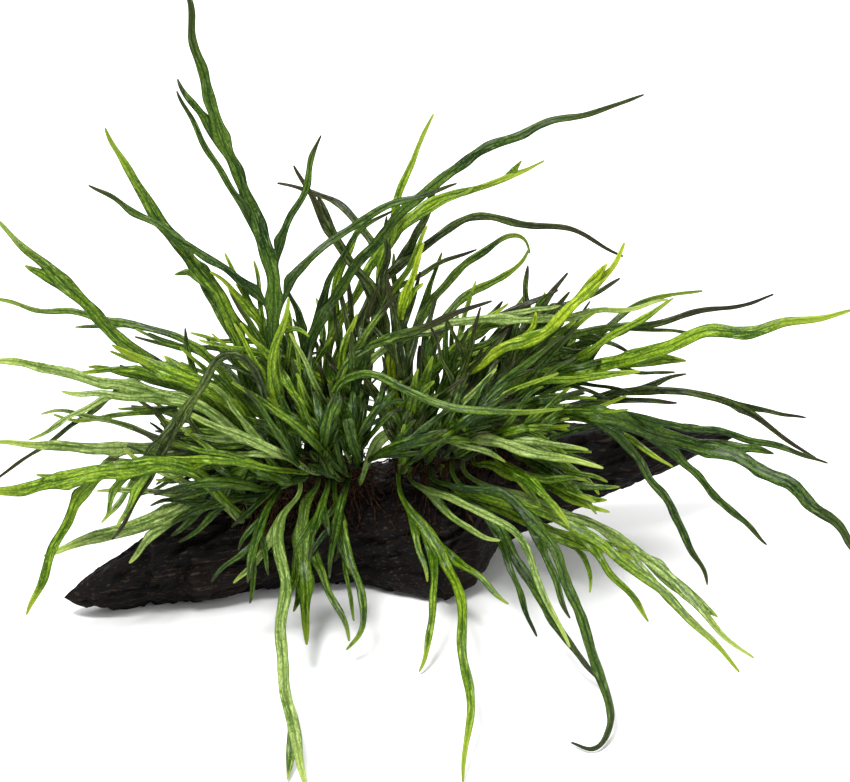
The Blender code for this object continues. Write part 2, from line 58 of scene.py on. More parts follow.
print("nodes in the frame:", len(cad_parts))

# %% [markdown]
# ## The leaning sheet
# A bushy plant is hard to place point by point in three dimensions. It is easier to lay the fronds out on a
# sheet that leans back, as a gardener presses a fern on paper: "across" runs along the wood, "up" climbs the
# sheet and "out" comes forward from it. Two short functions go from the sheet to the world and back.

# %% Sheet and world
LEAN = 25.0


def sheet_to_world(p):
    p = np.asarray(p, dtype=float)
    across, up, out = p[..., 0], p[..., 1], p[..., 2]
    y = up * sin(radians(LEAN)) - out * cos(radians(LEAN))
    z = up * cos(radians(LEAN)) + out * sin(radians(LEAN))
    return np.stack([across, y, z], axis=-1)


def world_to_sheet(p):
    x, y, z = p
    up = y * sin(radians(LEAN)) + z * cos(radians(LEAN))
    out = z * sin(radians(LEAN)) - y * cos(radians(LEAN))
    return np.array([x, up, out])


print("the sheet's top, 100 mm up, in the world:", sheet_to_world((0, 100, 0)).round(1))

# %% [markdown]
# ## Studio
# The plant stands on a plain pale floor in soft light. A long lens from two metres away flattens the view,
# as in a plant catalogue. Lamps and camera are aimed with a track quaternion, so no angle is typed twice.

# %% Floor, light and camera
# mm: the middle of the view on the sheet, its width there, how far off the camera stands, and its sensor
VIEW_CENTRE = (-6.7, 59.7, 0.0)
VIEW_WIDTH = 283.3
VIEW_DISTANCE = 2000.0
SENSOR_WIDTH = 36.0
# metres: half the floor's side, and the place that all lamps aim at
FLOOR_HALF = 4.0
LAMP_AIM = (0, 0, 0.06)
FLOOR_GREY = 0.95
SKY_STRENGTH = 0.60
# name, place and size in metres, power in watts
LAMPS = [("key_softbox", (-0.45, -0.5, 1.5), 32.0, 0.55), ("fill_softbox", (1.0, -0.8, 0.7), 4.0, 0.8),
         ("rim_softbox", (0.3, 1.1, 1.0), 14.0, 0.6)]


def place_in_scene(name, data):
    thing = bpy.data.objects.new(name, data)
    bpy.context.collection.objects.link(thing)
    return thing


def point_at(thing, target):
    aim = Vector(target) - thing.location
    thing.rotation_euler = aim.to_track_quat("-Z", "Y").to_euler()


def make_floor():
    bm = bmesh.new()
    bmesh.ops.create_grid(bm, x_segments=1, y_segments=1, size=FLOOR_HALF)
    mesh = bpy.data.meshes.new("pale_floor")
    bm.to_mesh(mesh)
    bm.free()
    floor = place_in_scene("pale_floor", mesh)
    material = bpy.data.materials.new("pale_floor")
    material.use_nodes = True
    shader = material.node_tree.nodes["Principled BSDF"]
    shader.inputs["Base Color"].default_value = (FLOOR_GREY, FLOOR_GREY, FLOOR_GREY, 1)
    shader.inputs["Roughness"].default_value = 0.9
    mesh.materials.append(material)


def make_lamp(name, place, watts, size):
    lamp = bpy.data.lights.new(name, "AREA")
    lamp.energy = watts
    lamp.size = size
    thing = place_in_scene(name, lamp)
    thing.location = place
    point_at(thing, LAMP_AIM)


def make_camera():
    lens = bpy.data.cameras.new("camera")
    lens.sensor_width = SENSOR_WIDTH
    lens.lens = SENSOR_WIDTH * VIEW_DISTANCE / VIEW_WIDTH
    lens.clip_start = 0.05
    camera = place_in_scene("camera", lens)
    across, up, out = VIEW_CENTRE
    camera.location = Vector(sheet_to_world((across, up, out + VIEW_DISTANCE)) * MM)
    point_at(camera, sheet_to_world(VIEW_CENTRE) * MM)
    bpy.context.scene.camera = camera


def make_sky(strength):
    world = bpy.data.worlds.new("soft_sky")
    world.use_nodes = True
    sky = world.node_tree.nodes["Background"]
    sky.inputs["Color"].default_value = (1, 1, 1, 1)
    sky.inputs["Strength"].default_value = strength
    bpy.context.scene.world = world


make_floor()
for lamp in LAMPS:
    make_lamp(*lamp)
make_sky(SKY_STRENGTH)
make_camera()
bpy.context.scene.view_settings.view_transform = "Standard"
print("lens, mm:", round(bpy.context.scene.camera.data.lens, 1))

# %% [markdown]
# ## Building materials with nodes
# Every surface here is procedural: noise and cell patterns are mixed in the shader. A tiny helper adds a
# node, sets its sockets and links its inputs, so a material reads as a recipe instead of as wiring.

# %% A helper for node recipes
def new_material(name, roughness=0.5):
    material = bpy.data.materials.new(name)
    material.use_nodes = True
    shader = material.node_tree.nodes["Principled BSDF"]
    shader.inputs["Roughness"].default_value = roughness
    return material, material.node_tree, shader


def add(tree, kind, settings=None, **links):
    """Add a node; a link that is a socket is wired up, and any other value is set on the socket."""
    node = tree.nodes.new(kind)
    for key, value in (settings or {}).items():
        setattr(node, key, value)
    for key, value in links.items():
        name = int(key[1:]) if key[0] == "i" and key[1:].isdigit() else key.replace("_", " ")
        socket = node.inputs[name]
        if isinstance(value, bpy.types.NodeSocket):
            tree.links.new(value, socket)
        else:
            socket.default_value = value
    return node


def ramp(tree, factor, *stops):
    """A colour ramp from (place, colour) stops; a colour may be one grey number."""
    node = add(tree, "ShaderNodeValToRGB", i0=factor)
    while len(node.color_ramp.elements) < len(stops):
        node.color_ramp.elements.new(0.5)
    for element, (place, colour) in zip(node.color_ramp.elements, stops):
        element.position = place
        grey = isinstance(colour, (int, float))
        element.color = (colour, colour, colour, 1) if grey else (*colour, 1)
    return node.outputs["Color"]


def blend_colours(tree, factor, first, second):
    node = add(tree, "ShaderNodeMix", {"data_type": "RGBA"}, i0=factor)
    for socket, value in ((node.inputs[6], first), (node.inputs[7], second)):
        if isinstance(value, bpy.types.NodeSocket):
            tree.links.new(value, socket)
        else:
            socket.default_value = (*value, 1)
    return node.outputs[2]


def number(tree, operation, first, second=0.0, third=0.0):
    return add(tree, "ShaderNodeMath", {"operation": operation}, i0=first, i1=second, i2=third).outputs[0]


def two_tone(tree, pattern, start, full, dark, light):
    """Dark up to where the pattern starts, and light from where it is full."""
    return blend_colours(tree, ramp(tree, pattern, (start, 0.0), (full, 1.0)), dark, light)


def tint(tree, body, mask, amount, colour):
    """Lay a colour over the body where the mask says so, up to an amount."""
    return blend_colours(tree, number(tree, "MULTIPLY", mask, amount), body, colour)


def stretched(tree, place, *scale, **turns):
    return add(tree, "ShaderNodeMapping", i0=place, Scale=scale, **turns).outputs[0]


def clouds(tree, place, **settings):
    return add(tree, "ShaderNodeTexNoise", Vector=place, **settings).outputs[0]


def finish_surface(tree, shader, body, height, strength, depth):
    """Link the colour and a bump; strength is a share, and depth is in metres."""
    tree.links.new(body, shader.inputs["Base Color"])
    bump = add(tree, "ShaderNodeBump", Height=height, Strength=strength, Distance=depth)
    tree.links.new(bump.outputs[0], shader.inputs["Normal"])


def object_place(tree):
    return add(tree, "ShaderNodeTexCoord").outputs["Object"]


print("node helpers ready")

# %% [markdown]
# ## The blade's skin
# A java fern blade is leathery and dark, with a sunken midrib and a net of veins round small, slightly
# swollen cells that catch the light. Streaks of dark and yellowish green run along it, and the tips of old
# blades go brown. The pattern is drawn along each blade with two coordinate layers made with the mesh:
# millimetres across and along, and the share of the length and of the half width. So cells keep their real
# size, about 1 mm, on a wide blade and on a narrow lobe. One recipe makes all the tones from a short list.

# %% Blade skin
# tone: shadow colour, lit colour, tip colour, where the tip colour starts, how strong it is
BLADE_TONES = {
    "deep": ((0.005, 0.022, 0.0005), (0.072, 0.140, 0.007), (0.024, 0.026, 0.008), 0.80, 0.6),
    "leaf": ((0.011, 0.038, 0.0005), (0.135, 0.230, 0.009), (0.210, 0.300, 0.018), 0.86, 0.5),
    "bright": ((0.026, 0.072, 0.0005), (0.225, 0.350, 0.013), (0.330, 0.430, 0.030), 0.82, 0.5),
    "pale": ((0.062, 0.120, 0.012), (0.340, 0.450, 0.125), (0.400, 0.500, 0.085), 0.84, 0.5),
    "lime": ((0.065, 0.135, 0.001), (0.350, 0.460, 0.010), (0.420, 0.500, 0.025), 0.84, 0.5),
    "dark": ((0.006, 0.015, 0.001), (0.082, 0.122, 0.016), (0.024, 0.018, 0.007), 0.80, 0.8),
    "darktip": ((0.010, 0.032, 0.001), (0.125, 0.205, 0.015), (0.014, 0.011, 0.005), 0.66, 0.9),
}


def brighter(colour, gain, lift):
    return tuple(min(1.0, c * gain + lift) for c in colour)


def blade_skin(tone):
    deep, light, tip_colour, tip_start, tip_strength = BLADE_TONES[tone]
    dark = tuple(c * 0.7 for c in deep)
    material, tree, shader = new_material("blade_" + tone)
    lay = add(tree, "ShaderNodeUVMap", {"uv_map": "blade_mm"}).outputs[0]
    share = add(tree, "ShaderNodeUVMap", {"uv_map": "blade_share"}).outputs[0]
    across = add(tree, "ShaderNodeSeparateXYZ", i0=lay)
    part = add(tree, "ShaderNodeSeparateXYZ", i0=share)
    # the net of veins, and the streaks and patches that carry the body's light and dark
    cells = add(tree, "ShaderNodeTexVoronoi", {"feature": "DISTANCE_TO_EDGE"},
                Vector=stretched(tree, lay, 0.95, 0.48, 1), Scale=1.0).outputs["Distance"]
    veins = ramp(tree, cells, (0.03, 1.0), (0.16, 0.0))
    streaks = clouds(tree, stretched(tree, lay, 0.85, 0.085, 1), Scale=1.0, Detail=4.0)
    speckles = clouds(tree, lay, Scale=1.1, Detail=3.0, Roughness=0.7)
    patches = clouds(tree, stretched(tree, lay, 0.06, 0.030, 1), Scale=1.0, Detail=2.0)
    sheen_dashes = clouds(tree, stretched(tree, lay, 1.9, 0.22, 1, Location=(7, 3, 0)), Scale=1.0, Detail=3.0)
    mix = number(tree, "MULTIPLY_ADD", streaks, 0.70, number(tree, "MULTIPLY", patches, 0.50))
    body = two_tone(tree, mix, 0.50, 0.74, deep, light)
    # bright flecks, dark veins, pale dashes of painted sheen, sunken midrib, dark rim and stalk, then the tip
    fleck = ramp(tree, speckles, (0.52, 0.0), (0.66, 1.0))
    body = tint(tree, body, fleck, 0.42, brighter(light, 1.30, 0.015))
    body = tint(tree, body, veins, 0.50, dark)
    # pale dashes along the blade: a painted sheen, lighter colour that stands in for light glancing off the
    # leathery skin
    painted_sheen = brighter(light, 1.40, 0.050)
    body = blend_colours(tree, ramp(tree, sheen_dashes, (0.56, 0.0), (0.66, 0.62)), body, painted_sheen)
    rib = ramp(tree, number(tree, "ABSOLUTE", across.outputs[0]), (0.10, 1.0), (0.34, 0.0))
    body = tint(tree, body, rib, 0.62, dark)
    body = tint(tree, body, ramp(tree, part.outputs[1], (0.74, 0.0), (0.94, 1.0)), 0.55, dark)
    body = tint(tree, body, ramp(tree, part.outputs[0], (0.06, 1.0), (0.42, 0.0)), 0.62, dark)
    ragged = number(tree, "MULTIPLY_ADD", speckles, 0.14, part.outputs[0])
    tip = ramp(tree, ragged, (tip_start + 0.02, 0.0), (min(1.0, tip_start + 0.16), 1.0))
    body = tint(tree, body, tip, tip_strength, tip_colour)
    tree.links.new(ramp(tree, speckles, (0.3, 0.26), (0.75, 0.55)), shader.inputs["Roughness"])
    shader.inputs["Coat Weight"].default_value = 0.05
    shader.inputs["Coat Roughness"].default_value = 0.12
    shader.inputs["Specular IOR Level"].default_value = 0.14
    swell = number(tree, "SUBTRACT", number(tree, "MULTIPLY", cells, 1.2), rib)
    finish_surface(tree, shader, body, swell, 0.75, 0.0003)
    return material


skins = {tone: blade_skin(tone) for tone in BLADE_TONES}
print("blade skins:", sorted(skins))

# %% [markdown]
# ## Driftwood
# The wood is one old root, thick in the middle and drawn out to a point, black from years under water.
# The frame holds it as a plain spindle. It is lofted again here from the same cross-sections with many
# more rings, and each point is moved along its radius: long noise makes the bellies and hollows, noise
# stretched along the wood cuts the grain, and a few round bumps make the knobs. Displacing the points
# themselves, and not only the shading, keeps the cracked outline that this wood has.

# %% Wood sections and a lofting helper
WOOD = [
    (-122, -34, 7, 2.5, 4), (-113, -29, 8, 7, 7), (-100, -23, 10, 10, 10), (-85, -17, 13, 14, 14),
    (-70, -12, 15, 16, 16.5), (-50, -5, 16, 17, 16), (-30, 3, 17, 18, 17), (-12, 3, 18, 24, 19.5),
    (0, 0, 18, 27, 19.5), (10, 7, 19, 24, 20.5), (18, 17, 21, 17, 18), (35, 26, 23, 14, 16),
    (55, 33, 25, 10, 11), (75, 39, 27, 7, 7), (90, 42, 28.5, 3.5, 3.5), (96, 43, 29, 1.6, 1.6),
]


def wood_section(x):
    table = np.array(WOOD, dtype=float)
    return [float(np.interp(x, table[:, 0], table[:, k])) for k in range(1, 5)]


def wood_point(x, angle, lift):
    """A point lifted off the wood; angle 0 is the front, 90 the top."""
    y, z, deep, high = wood_section(x)
    a = radians(angle)
    return np.array([x, y - cos(a) * (deep + lift), z + sin(a) * (high + lift)])


def loft(bm, rings):
    rows = [[bm.verts.new(tuple(np.asarray(p) * MM)) for p in ring] for ring in rings]
    n = len(rows[0])
    for low, high in zip(rows, rows[1:]):
        for k in range(n):
            bm.faces.new((low[k], low[(k + 1) % n], high[(k + 1) % n], high[k]))
    bm.faces.new(list(reversed(rows[0])))
    bm.faces.new(rows[-1])


def finish_piece(name, bm, material, slot, *nodes):
    bmesh.ops.recalc_face_normals(bm, faces=bm.faces)
    mesh = bpy.data.meshes.new(name)
    bm.to_mesh(mesh)
    bm.free()
    mesh.shade_smooth()
    mesh.materials.append(material)
    piece = place_in_scene(name, mesh)
    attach(piece, "root")
    if nodes:
        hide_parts(*nodes)
    return piece


CROWN_MIDDLE = -22.0
print("wood length, mm:", WOOD[-1][0] - WOOD[0][0])

# %% Wood finish
# the wood lies a little askew to X, so its grain is turned before it is stretched
WOOD_SKEW = -0.34


def wood_finish():
    material, tree, shader = new_material("wet_black_wood")
    place = object_place(tree)
    lain = add(tree, "ShaderNodeMapping", i0=place, Rotation=(0, 0, WOOD_SKEW)).outputs[0]
    grain = clouds(tree, stretched(tree, lain, 45, 620, 620), Scale=1.0, Detail=8.0, Roughness=0.65)
    fibre = clouds(tree, stretched(tree, lain, 75, 1300, 1300), Scale=1.0, Detail=4.0)
    broad = clouds(tree, place, Scale=28.0, Detail=3.0)
    body = two_tone(tree, grain, 0.42, 0.66, (0.0012, 0.0009, 0.0008), (0.0070, 0.0042, 0.0032))
    body = tint(tree, body, ramp(tree, broad, (0.48, 0.0), (0.72, 1.0)), 0.5, (0.014, 0.006, 0.004))
    body = tint(tree, body, ramp(tree, fibre, (0.59, 0.0), (0.68, 1.0)), 0.42, (0.100, 0.070, 0.052))
    tree.links.new(ramp(tree, grain, (0.3, 0.48), (0.8, 0.85)), shader.inputs["Roughness"])
    shader.inputs["Specular IOR Level"].default_value = 0.12
    finish_surface(tree, shader, body, number(tree, "MULTIPLY_ADD", fibre, 0.55, grain), 1.0, 0.0010)
    return material


wood_material = wood_finish()
print("wood finish ready")

# %% Driftwood
WOOD_RINGS = 380
WOOD_AROUND = 150
# knobs and hollows: x, angle round the wood (0 front, 90 top), reach, height; all in mm and degrees
KNOBS = [(-4, -42, 11, 4.0), (11, -28, 9, 4.5), (-20, -36, 9, 2.5), (-96, 60, 8, 2.6), (-84, 88, 14, 2.2),
         (24, 66, 12, 2.0), (44, 80, 10, 1.6), (-60, -20, 10, -2.2), (-108, 20, 8, 1.8), (64, 30, 9, 1.4),
         (3, -6, 8, -2.6), (30, -20, 9, -2.0), (-35, 200, 14, 2.4), (15, 170, 14, 2.2), (82, 95, 6, 1.3)]
# broken steps: x where the bark's edge drops away, its height, and the angle round the wood where it shows
STEPS = [(-97, 4.6, 72), (-84, 2.2, 10), (-60, 1.8, -30), (-38, 2.4, -50), (36, 2.6, 70), (66, 2.2, 40)]
GRAIN_TWIST = 0.006
# a step's edge wanders and drops by these mm, runs out over STEP_RUN, and spans STEP_TURN radians
STEP_WANDER = 5.0
STEP_EDGE = 1.2
STEP_RUN = 16
STEP_TURN = 1.3
# mm: how far the broken ends splinter, and how far in from an end that begins
SPLINTER = 5.0
END_RUN = 9


def turn_between(a, degrees):
    """The angle from a place round the wood, in radians, between -pi and pi."""
    return (a - radians(degrees) + pi) % (2 * pi) - pi


def wood_relief(x, a, reach):
    """How far a point stands off the plain spindle."""
    round_at = Vector((x * 0.016, cos(a) * reach * 0.05, sin(a) * reach * 0.05))
    belly = noise.noise(round_at * 2.2 + Vector((3, 1, 7))) * 2.2
    turned = a - x * GRAIN_TWIST
    grain_at = Vector((x * 0.030, cos(turned) * reach * 0.42, sin(turned) * reach * 0.42))
    ridge = 1.0 - abs(noise.noise(grain_at)) * 2.6
    fine = noise.noise(grain_at * 3.1 + Vector((11, 5, 2)))
    chip_at = Vector((x * 0.21, cos(turned) * reach * 0.30, sin(turned) * reach * 0.30))
    chips = max(0.0, noise.noise(chip_at) - 0.10) * -3.4
    crack = max(0.0, noise.noise(grain_at * 0.8 + Vector((0, 9, 4))) - 0.22) * -8.0
    lift = belly + 0.85 * ridge + 0.60 * fine + chips + crack
    for knob_x, angle, size, height in KNOBS:
        turn = turn_between(a, angle)
        away = ((x - knob_x) / size) ** 2 + (turn * reach / size) ** 2
        lift += height * fading(away)
    for step_x, height, angle in STEPS:
        turn = turn_between(a, angle)
        ragged = step_x + STEP_WANDER * noise.noise(Vector((turn * reach * 0.25, step_x, 0.0)))
        past = (x - ragged) * (1 if step_x < CROWN_MIDDLE else -1)
        shown = max(0.0, 1 - (turn / STEP_TURN) ** 2)
        lift += height * shown * min(1.0, max(0.0, past / STEP_EDGE)) * fading(max(0.0, past) / STEP_RUN)
    return lift


def wood_ring(x, first, last):
    y, z, deep, high = wood_section(x)
    reach = (deep + high) / 2
    side = 1 if x > CROWN_MIDDLE else -1
    near_end = max(0.0, 1 - min(x - first, last - x) / END_RUN)
    ring = []
    for k in range(WOOD_AROUND):
        a = 2 * pi * k / WOOD_AROUND
        lift = wood_relief(x, a, reach) * min(1.0, reach / END_RUN)
        splinter = noise.noise(Vector((cos(a) * 3.4, sin(a) * 3.4, side * 2.7)))
        broken = 1 - near_end ** 4 * (0.55 + 0.7 * splinter)
        ring.append((x + SPLINTER * splinter * near_end * side, y - cos(a) * (deep + lift) * broken,
                     max(0.0, z + sin(a) * (high + lift) * broken)))
    return ring


def make_driftwood():
    bm = bmesh.new()
    first, last = WOOD[0][0], WOOD[-1][0]
    loft(bm, [wood_ring(x, first, last) for x in np.linspace(first, last, WOOD_RINGS)])
    piece = finish_piece("driftwood_branch", bm, wood_material, "driftwood", "driftwood")
    print("driftwood faces:", len(piece.data.polygons))


make_driftwood()

# %% [markdown]
# ## Rhizome
# The rhizome is a knobbly brown stem about as thick as a pencil. It arches off the wood between its root
# holds. Its skin is set with scales and with the scars of old stalks, so the tube gets rings of small
# swellings, and a noisy brown finish with green where it is young.

# %% Rhizome finish and runs
# run: where it starts and ends along the wood, its angle round it (90 top), how high it arches
RUNS = {"left": (-67, -26, 72, 9.0), "right": (-17, 25, 78, 5.0), "spur": (-64, -50, 122, 6.0)}
RHIZOME_RADIUS = 3.6
RHIZOME_RINGS = 70
RHIZOME_SIDES = 24
GAP = 0.45
BARK_RELIEF = 1.6
SEAT_GAP = 1.35


def at_share(points, share):
    where = np.linspace(0, 1, len(points))
    return np.array([np.interp(share, where, points[:, k]) for k in range(points.shape[1])])


def rhizome_line(run):
    first, last, angle, arch = RUNS[run]
    line = []
    for share in np.linspace(0, 1, 11):
        lift = RHIZOME_RADIUS + GAP + BARK_RELIEF + arch * sin(pi * share)
        line.append(wood_point(first + (last - first) * share, angle, lift))
    return np.array(line)


def tube_rings(points, radii, sides, bumps=None):
    points = np.asarray(points, dtype=float)
    tangents = np.gradient(points, axis=0)
    rings = []
    for row, (p, t, r) in enumerate(zip(points, tangents, radii)):
        t = t / np.linalg.norm(t)
        side = np.cross(t, (0.3, -0.2, 0.93))
        side /= np.linalg.norm(side)
        rise = np.cross(side, t)
        ring = []
        for k in range(sides):
            a = 2 * pi * k / sides
            size = r * (1 + (bumps(row, a) if bumps else 0.0))
            ring.append(p + size * (cos(a) * side + sin(a) * rise))
        rings.append(ring)
    return rings


def rhizome_finish():
    material, tree, shader = new_material("rhizome_scales", 0.62)
    place = object_place(tree)
    scales = add(tree, "ShaderNodeTexVoronoi", Vector=place, Scale=900.0).outputs["Distance"]
    mottle = clouds(tree, place, Scale=160.0, Detail=4.0)
    body = two_tone(tree, mottle, 0.4, 0.65, (0.018, 0.011, 0.006), (0.045, 0.050, 0.014))
    body = blend_colours(tree, ramp(tree, scales, (0.25, 0.0), (0.7, 0.8)), body, (0.010, 0.006, 0.004))
    finish_surface(tree, shader, body, scales, 0.7, 0.0005)
    return material


def make_rhizomes():
    material = rhizome_finish()
    for run in RUNS:
        shares = np.linspace(0, 1, RHIZOME_RINGS)
        line = [at_share(rhizome_line(run), s) for s in shares]
        swell = [RHIZOME_RADIUS * (0.45 + 0.55 * max(0.0, sin(pi * s)) ** 0.35) for s in shares]

        def scar(row, a):
            return 0.16 * noise.noise(Vector((row * 0.35, cos(a) * 1.6, sin(a) * 1.6))) - 0.05

        bm = bmesh.new()
        loft(bm, tube_rings(line, swell, RHIZOME_SIDES, scar))
        finish_piece("rhizome_run_" + run, bm, material, "rhizome", "rhizome_" + run)
    print("rhizome runs:", list(RUNS))


make_rhizomes()

# %% [markdown]
# ## The fronds' routes
# No two fronds on a java fern are alike, so a random scatter would look wrong. Each frond gets one row: its
# seat on the rhizome, its width, a few route points and its lobes. These are the same rows that the solid
# parts were made from, so every blade lies where its solid does.

